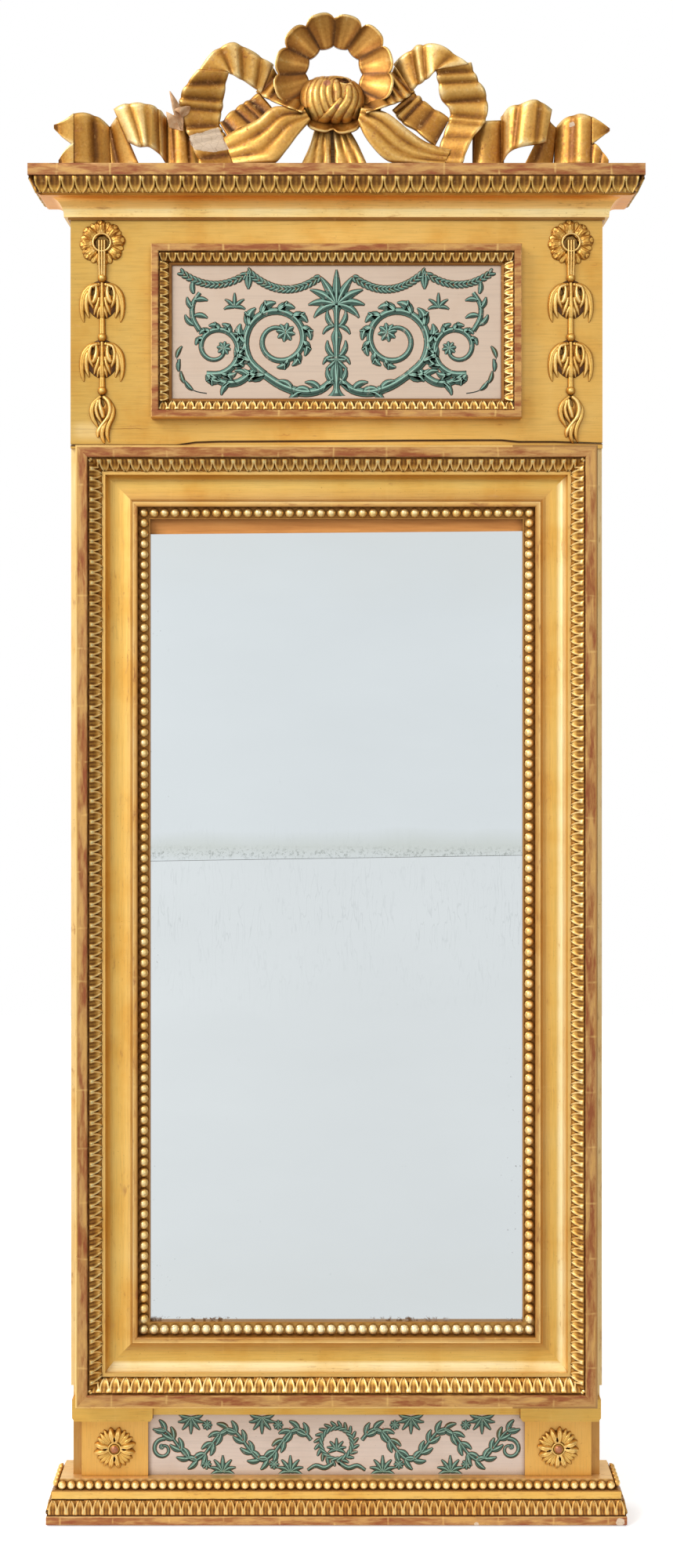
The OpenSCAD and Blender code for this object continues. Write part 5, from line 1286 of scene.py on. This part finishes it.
# the knot, in mm from its middle: ropes wrapped round a drum, one crossing from a curl at the upper right
KNOT_ROPES = [
    [(-19, 14, 3.4, 2.6), (-24, 5, 3.8, 3.2), (-24.5, -6, 3.6, 3.2), (-20, -16, 3.2, 2.2)],
    [(-13, 17, 3.2, 2.8), (-18.5, 6, 3.9, 3.6), (-19, -5, 3.8, 3.6), (-15, -17, 3.4, 2.6)],
    [(-8.5, 18.5, 3.2, 2.8), (-13.5, 7, 3.9, 4.0), (-13.5, -4, 3.9, 4.0), (-10, -14, 3.2, 3.0)],
    [(-4.5, 17.5, 3.0, 2.8), (-8.0, 7, 3.5, 3.8), (-7.5, -3.5, 3.3, 3.8), (-4.5, -11, 2.6, 2.8)],
    [(0.5, 16.5, 2.8, 3.0), (-2.6, 7, 3.5, 4.2), (-2.4, -1, 3.2, 4.0), (-0.5, -7.5, 2.2, 2.8)],
    [(2.6, 13, 3.0, 3.6), (4.2, 5, 3.7, 4.8), (4.0, -3, 2.8, 4.0)],
    [(-5, 11, 2.4, 2.4), (-2.5, 17, 2.8, 3.4), (3.5, 19.8, 2.9, 3.8), (10.5, 18.8, 2.5, 3.4),
     (15.0, 16.6, 1.4, 2.4)],
    [(9.5, 11, 4.6, 1.4), (10.5, 3, 5.0, 2.0)],
    [(14.5, 8, 3.4, 3.4), (13.5, -3, 4.2, 4.6), (7, -12, 3.9, 4.4), (2.5, -18.5, 3.2, 3.0)],
    [(15.5, 12, 3.0, 2.6), (19.5, 2, 3.7, 3.6), (17, -8, 3.7, 3.8), (12, -18, 3.2, 2.6)],
    [(18, 14, 2.8, 2.2), (23.4, 3.5, 3.4, 2.8), (23.4, -5, 3.4, 3.0), (20, -14, 3.0, 2.2)],
    [(6.6, -3.5, 2.9, 4.8), (1.5, -10, 3.3, 5.2), (-4.5, -16, 3.3, 4.4), (-10.5, -19.5, 2.8, 2.6)]]


def knot_drum(x, z):
    """How far the knot stands forward: a drum with rounded ends, fuller below."""
    u, v = x / 28.4, z / 21.6
    r = (np.abs(u) ** 2.7 + np.abs(v + 0.05 * u) ** 2.6) ** 0.5
    return np.where(r < 1, 21.5 * np.clip(1 - r ** 2.6, 0, 1) ** 0.42, -(r - 1) * 12)


knot = Build()
KNOT_HOLE = (10.5, 14.6, 4.2, 2.4, -8)
carve(knot, -3.5, Z_TOP + 56.3, -45.6, [(rope, 0.0, 0, 0.04) for rope in KNOT_ROPES], [KNOT_HOLE],
      step=KNOT_GRID, over=knot_drum)
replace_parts(knot.make("bow_knot_carved", M["knot"]), "bow_knot")


# painted panels
# Own ornament of the period's common kind: scrolling acanthus, palmettes, swags and laurel.
INK, BODY, SHADE, LIGHT = "#28322F", "#64897A", "#3B564B", "#9DC6B3"
OLIVE, GLOW, BERRY = "#6E6C44", "#C99A78", "#A8623F"


def paint_material(name):
    """Verdigris distemper laid in thin strokes over the ground, dry and slightly crackled."""
    s = Shade(name)
    c = s.attribute("paint", "Color")
    dry = s.noise(9, 1.3, 1.3, detail=4, rough=0.6)
    c = s.mix(0.8, c, s.ramp(dry, (0.3, 0.78), (0.6, 1.0)), "MULTIPLY")
    thin = s.ramp(s.noise(3.4, detail=4, shift=2), (0.60, 0.0), (0.74, 0.55))
    c = s.mix(thin, c, linear("#CDB9A6"))
    return s.finish(c, s.ramp(dry, (0.2, 0.6), (0.8, 0.78)), None, dry, 0.05, 0.4)


M["paint"] = paint_material("verdigris_distemper_strokes")
THINNEST = 0.05                         # least half width of a stroke's point
STROKE_FOOT, STROKE_LAYER = 0.03, 0.022    # how far strokes stand off the panel, and off each other
TOP_LEVEL = 6                           # the layer of the berries


class Panel:
    """Strokes as thin closed plates lying on a panel's face; later strokes lie higher."""

    def __init__(self, name, y, z0, z1, half):
        self.name, self.y, self.z0, self.z1, self.half = name, y, z0, z1, half
        self.b, self.c = Build(), []

    def stroke(self, pts, colour, level, per=4, both=True):
        """One stroke along points (x, z, half width), mirrored too if both."""
        n = (len(pts) - 1) * per
        line = [smooth(pts, i / per) for i in range(n + 1)]
        for m in ((1, -1) if both else (1,)):
            rows = []
            for i, q in enumerate(line):
                d = line[min(i + 1, n)] - line[max(i - 1, 0)]
                d = Vector((d[0], d[1]))
                d = d.normalized() if d.length > 1e-6 else Vector((1, 0))
                w = max(0.06, q[2])
                row = []
                for k in (-1, 0, 1):
                    x = max(-self.half, min(self.half, q[0] + d.y * w * k))
                    z = max(self.z0, min(self.z1, q[1] - d.x * w * k))
                    row.append((m * x, self.y - STROKE_FOOT - STROKE_LAYER * level, z))
                rows.append(row)
            before = len(self.b.v)
            self.b.sheet(rows, [[0.5] * 3] * len(rows), back=lambda p: (p[0], self.y - 0.01, p[2]))
            self.c += [linear(colour)] * (len(self.b.v) - before)

    def limb(self, pts, tone=BODY, both=True, per=4):
        """A painted stem or leaf: glow, dark outline, body, shade below and light above."""
        for level, (colour, by, part, up, lift) in enumerate((
                (GLOW, 0.9, 1.0, 0.0, 0.0), (INK, 0.6, 1.0, 0.0, 0.0), (tone, 0.0, 1.0, 0.0, 0.0),
                (SHADE, 0.0, 0.62, -0.3, 0.0), (LIGHT, 0.0, 0.22, 0.0, 0.32))):
            line = [(x, z + up + lift * w, max(THINNEST, w * part + by)) for x, z, w in pts]
            self.stroke(line, colour, level, per, both)

    def dot(self, x, z, half, r):
        """A berry: a short fat stroke over all others."""
        self.stroke([(x - half, z, r), (x + half, z, r)], BERRY, TOP_LEVEL, per=2)

    def leaf(self, x, z, angle, long, wide, bend=0.0, tone=BODY, both=True):
        """A pointed leaf from its root at x, z; bend is how far it turns by its tip."""
        a, pts = math.radians(angle), []
        for t, w in ((0, 0.18), (0.25, 0.85), (0.55, 1.0), (0.82, 0.55), (1.0, 0.05)):
            c = a + math.radians(bend) * t
            pts.append((x + long * t * math.cos(c), z + long * t * math.sin(c), wide * w))
        self.limb(pts, tone, both, per=2)

    def scroll(self, x, z, r, start, turn, stem, leaves=True):
        """A spiral of stem about (x, z) from angle start through turn degrees, with acanthus leaflets
        outside and a flower at its end."""
        n = max(6, int(abs(turn) / 30))
        sign = 1 if turn > 0 else -1
        pts = []
        for i in range(n + 1):
            t = i / n
            a = math.radians(start + turn * t)
            q = r * (1 - 0.72 * t ** 0.9)
            pts.append((x + q * math.cos(a), z + q * math.sin(a), stem * (1 - 0.62 * t)))
        if leaves:
            for i in range(0, int(n * 0.66)):
                px, pz, _ = pts[i]
                a = start + turn * i / n
                g = 1 - 0.65 * i / n
                tone = OLIVE if i % 3 == 2 else BODY
                self.leaf(px, pz, a + sign * 38, r * 0.58 * g, r * 0.13 * g, sign * 46)
                self.leaf(px, pz, a + sign * 76, r * 0.46 * g, r * 0.10 * g, sign * -30, tone)
        self.limb(pts, per=3)
        fx, fz, _ = pts[-1]
        for k in range(8):
            self.leaf(fx, fz, 45 * k + 10, r * 0.26, r * 0.062)
        self.dot(fx, fz, 0.1, r * 0.05)

    def swag(self, x0, z0, x1, z1, sag, n, size):
        """Pairs of leaves along a hanging curve, with a berry at every third."""
        for i in range(n + 1):
            t = i / n
            x, z = x0 + (x1 - x0) * t, z0 + (z1 - z0) * t - sag * 4 * t * (1 - t)
            slope = math.degrees(math.atan2((z1 - z0) - sag * 4 * (1 - 2 * t), x1 - x0))
            tone = OLIVE if i % 4 == 1 else BODY
            for side in (-1, 1):
                self.leaf(x, z, slope + side * 42, size, size * 0.2, -side * 15, tone)
            if i % 3 == 0:
                self.dot(x, z - 0.4, 0.4, 0.75)

    def fan(self, x, z, size, n, spread, up=90, both=True):
        """A palmette of n leaves."""
        for k in range(n):
            u = -1 + 2 * k / (n - 1)
            long = size * (1 - 0.28 * abs(u))
            self.leaf(x, z, up - u * spread / 2, long, size * 0.095, -u * 34, both=both)

    def make(self):
        """All strokes as one piece, with their colours."""
        o = self.b.make(self.name, M["paint"], slot="painted_panel")
        paint = o.data.attributes.new("paint", "FLOAT_COLOR", "POINT")
        paint.data.foreach_set("color", [v for c in self.c for v in c])


def upper_design():
    """A candelabrum between scrolls, under hanging swags."""
    p = Panel("painted_scrolls_upper", y=-39.0, z0=967.5, z1=1080.3, half=141.5)
    one = dict(both=False)
    # candelabrum in the middle
    stem = ((969, 7.0), (972, 4.0), (977, 2.2), (985, 4.8), (991, 5.2), (997, 2.6), (1001, 1.8), (1012, 2.6),
            (1020, 4.2), (1026, 2.0), (1031, 1.6), (1042, 2.4), (1046, 5.6), (1048, 5.2))
    p.limb([(0, z, w) for z, w in stem], **one)
    p.fan(0, 1047, 31, n=9, spread=170, **one)
    p.fan(0, 1001, 15, n=5, spread=120, up=-90, **one)
    for z in (980, 1003, 1029):
        p.leaf(2.0, z, 28, 15, 2.0, 40)
        p.leaf(2.0, z, 4, 12, 1.6, -40)
    # great scrolls
    p.limb([(3, 983, 2.6), (14, 974, 3.0), (30, 972, 3.4), (48, 978, 3.2), (62, 987, 2.8)])
    p.scroll(50, 1017, 32.5, -68, 560, 3.2)
    for x, z, a in ((14, 974, 60), (22, 972, 42), (30, 972, -8), (38, 974, 66)):
        p.leaf(x, z, a, 15, 2.4, -34)
    p.limb([(72, 990, 2.6), (84, 981, 2.8), (97, 980, 2.6), (109, 987, 2.2)])
    p.scroll(104, 1010, 24, -70, -470, 2.6)
    for x, z, a in ((76, 986, 50), (86, 980, 20), (92, 980, -25), (100, 982, 30)):
        p.leaf(x, z, a, 13, 2.1, -30)
    p.limb([(118, 1025, 1.8), (124, 1036, 1.8), (124, 1048, 1.6), (118, 1058, 1.2)])
    for z, a in ((1030, 20), (1038, 160), (1044, 30), (1051, 150), (1057, 60)):
        p.leaf(123, z, a, 12, 1.9, 30)
    for k, (x, z) in enumerate(((124, 974), (131, 980), (136, 990), (138, 1002))):
        p.leaf(x, z, 30 + 22 * k, 11, 1.5, 20, tone=OLIVE if k % 2 else BODY)
    p.stroke([(112, 971, 0.45), (124, 974, 0.45), (133, 984, 0.4), (138, 1002, 0.3)], INK, 3)
    # swags hung from the top
    p.swag(14, 1072, 74, 1074, 12, 17, 6.0)
    p.swag(78, 1074, 132, 1074, 9, 14, 5.6)
    p.leaf(76, 1077, -70, 16, 1.6, -20)
    p.leaf(76, 1077, -110, 16, 1.6, 20)
    p.fan(88, 1045, 13, n=5, spread=130)
    p.make()


def lower_design():
    """A laurel wreath between running branches, with palmettes in their bays."""
    p = Panel("painted_laurel_lower", y=-33.5, z0=37.0, z1=88.0, half=161.0)
    one = dict(both=False)
    # wreath with ribbon ends in the middle
    for k in range(20):
        a = 18 * k
        x, z = 15 * math.cos(math.radians(a)), 63 + 15 * math.sin(math.radians(a))
        p.leaf(x, z, a + 112, 7.2, 1.25, 18, **one)
        p.leaf(x, z, a + 64, 6.6, 1.1, -14, tone=OLIVE if k % 3 == 0 else BODY, **one)
    p.fan(0, 57, 11, n=7, spread=150, **one)
    p.limb([(2, 47, 1.2), (10, 42, 1.6), (18, 44, 1.4), (25, 40, 0.8)])
    # running branch, its bays filled with palmettes and small flowers
    pts = [(22 + 3.4 * i, 62 + 13.5 * math.sin(i * 0.36 + 0.3), 1.25 - 0.012 * i) for i in range(40)]
    p.limb(pts, per=2)
    for i in range(1, 39, 2):
        x, z, _ = pts[i]
        before, after = pts[i - 1], pts[i + 1]
        slope = math.degrees(math.atan2(after[1] - before[1], after[0] - before[0]))
        p.leaf(x, z, slope + 48, 11.5, 1.9, -24, tone=OLIVE if i % 7 == 0 else BODY)
        p.leaf(x, z, slope - 48, 11.5, 1.9, 24)
        if i % 4 == 1:
            p.dot(x + 1.3, z + 2.6, 0.3, 1.0)
    for x, z, way in ((40, 47, 1), (64.5, 77, -1), (98.5, 47, 1), (126, 77, -1)):
        p.fan(x, z - 9 * way, 15, n=7, spread=140, up=90 * way)
        for k in range(8):
            p.leaf(x + 14 * way, z - 2 * way, 45 * k, 4.6, 1.0)
    p.scroll(150, 58, 9.5, 100, -400, 1.4, leaves=False)
    p.make()


upper_design()
lower_design()


# stage, light, camera
def studio():
    """A white floor, a world that is white where it is seen and graded where it lights or is mirrored,
    soft light from the upper left and a long reflector on the right."""
    s = Shade("studio_floor_paper")
    glow = {"Emission Color": linear("#FFFFFF"), "Emission Strength": 0.34}
    paper = s.finish(linear("#FBFBFB"), 0.9, **glow)
    me = bpy.data.meshes.new("studio_floor")
    side, front, below = 2.5, -0.16, -0.0008
    corners = [(-side, front, 0), (side, front, 0), (side, side, 0), (-side, side, 0)]
    me.from_pydata(corners, [], [(0, 1, 2, 3)])
    me.materials.append(paper)
    floor = bpy.data.objects.new("studio_floor", me)
    bpy.context.scene.collection.objects.link(floor)
    floor.location.z = below
    world = bpy.data.worlds.new("studio_white")
    bpy.context.scene.world = world
    world.use_nodes = True
    t = world.node_tree
    t.nodes.clear()
    path = add(t, "ShaderNodeLightPath").outputs
    way = add(t, "ShaderNodeTexCoord").outputs["Generated"]
    parts = add(t, "ShaderNodeSeparateXYZ", {0: way})

    def graded(part, stops):
        """Greys along one part of the direction, from -1 to 1."""
        place = add(t, "ShaderNodeMapRange", {0: part, 1: -1.0, 2: 1.0}).outputs[0]
        return set_ramp(add(t, "ShaderNodeValToRGB", {0: place}), stops)

    across = graded(parts.outputs[0], LEFT_TO_RIGHT)
    height = graded(parts.outputs[2], FOOT_TO_HEAD)
    seen = add(t, "ShaderNodeMix", {0: 1.0, 6: across, 7: height}, data_type="RGBA",
               blend_type="MULTIPLY").outputs[2]
    glossy = add(t, "ShaderNodeBackground", {0: seen, 1: 1.0})
    plain = add(t, "ShaderNodeBackground", {0: seen, 1: WORLD})
    white = add(t, "ShaderNodeBackground", {0: linear("#FFFFFF"), 1: 1.0})
    sharp = add(t, "ShaderNodeMath", {0: path["Is Camera Ray"], 1: path["Is Transmission Ray"]},
                operation="MAXIMUM").outputs[0]
    a = add(t, "ShaderNodeMixShader", {0: path["Is Glossy Ray"], 1: plain.outputs[0], 2: glossy.outputs[0]})
    b = add(t, "ShaderNodeMixShader", {0: sharp, 1: a.outputs[0], 2: white.outputs[0]})
    add(t, "ShaderNodeOutputWorld", {0: b.outputs[0]})
    for name, at, aim, size, power in LAMPS:
        lamp = bpy.data.lights.new(name, "AREA")
        lamp.shape, lamp.size, lamp.size_y, lamp.energy = "RECTANGLE", size[0], size[1], power
        o = bpy.data.objects.new(name, lamp)
        o.location = at
        o.rotation_euler = (Vector(aim) - Vector(at)).to_track_quat("-Z", "Y").to_euler()
        bpy.context.scene.collection.objects.link(o)


def camera():
    """The photograph's own view: level, square on, standing at three fifths of the height."""
    cam = bpy.data.cameras.new("camera")
    cam.sensor_fit, cam.sensor_height, cam.lens = "VERTICAL", 36.0, 48.06
    cam.shift_x, cam.shift_y = 0.0, -0.0805
    o = bpy.data.objects.new("camera", cam)
    o.location = (0.0, -1.845, 0.743)
    o.rotation_euler = (math.pi / 2, 0, 0)
    bpy.context.scene.collection.objects.link(o)
    bpy.context.scene.camera = o
    bpy.context.scene.view_settings.view_transform = "Standard"


WORLD = 0.62
LEFT_TO_RIGHT = ((0.0, 0.95), (0.08, 1.5), (0.20, 1.68), (0.34, 1.14), (0.5, 1.0), (0.60, 1.0), (0.70, 0.97),
                 (0.81, 0.64), (0.90, 0.42), (1.0, 0.50))
FOOT_TO_HEAD = ((0.0, 0.46), (0.16, 0.56), (0.26, 0.74), (0.35, 0.97), (0.42, 1.0), (0.5, 1.0), (0.62, 1.0),
                (0.80, 1.06), (0.92, 1.45), (1.0, 1.3))
# each lamp's name, place, aim, width and height in metres, and watts
LAMPS = (("soft_box_upper_left", (-1.7, -1.7, 2.2), (0, 0, 0.75), (1.1, 1.3), 43),
         ("reflector_right", (1.6, -1.9, 0.9), (0, 0, 0.7), (0.5, 1.8), 6))
studio()
camera()
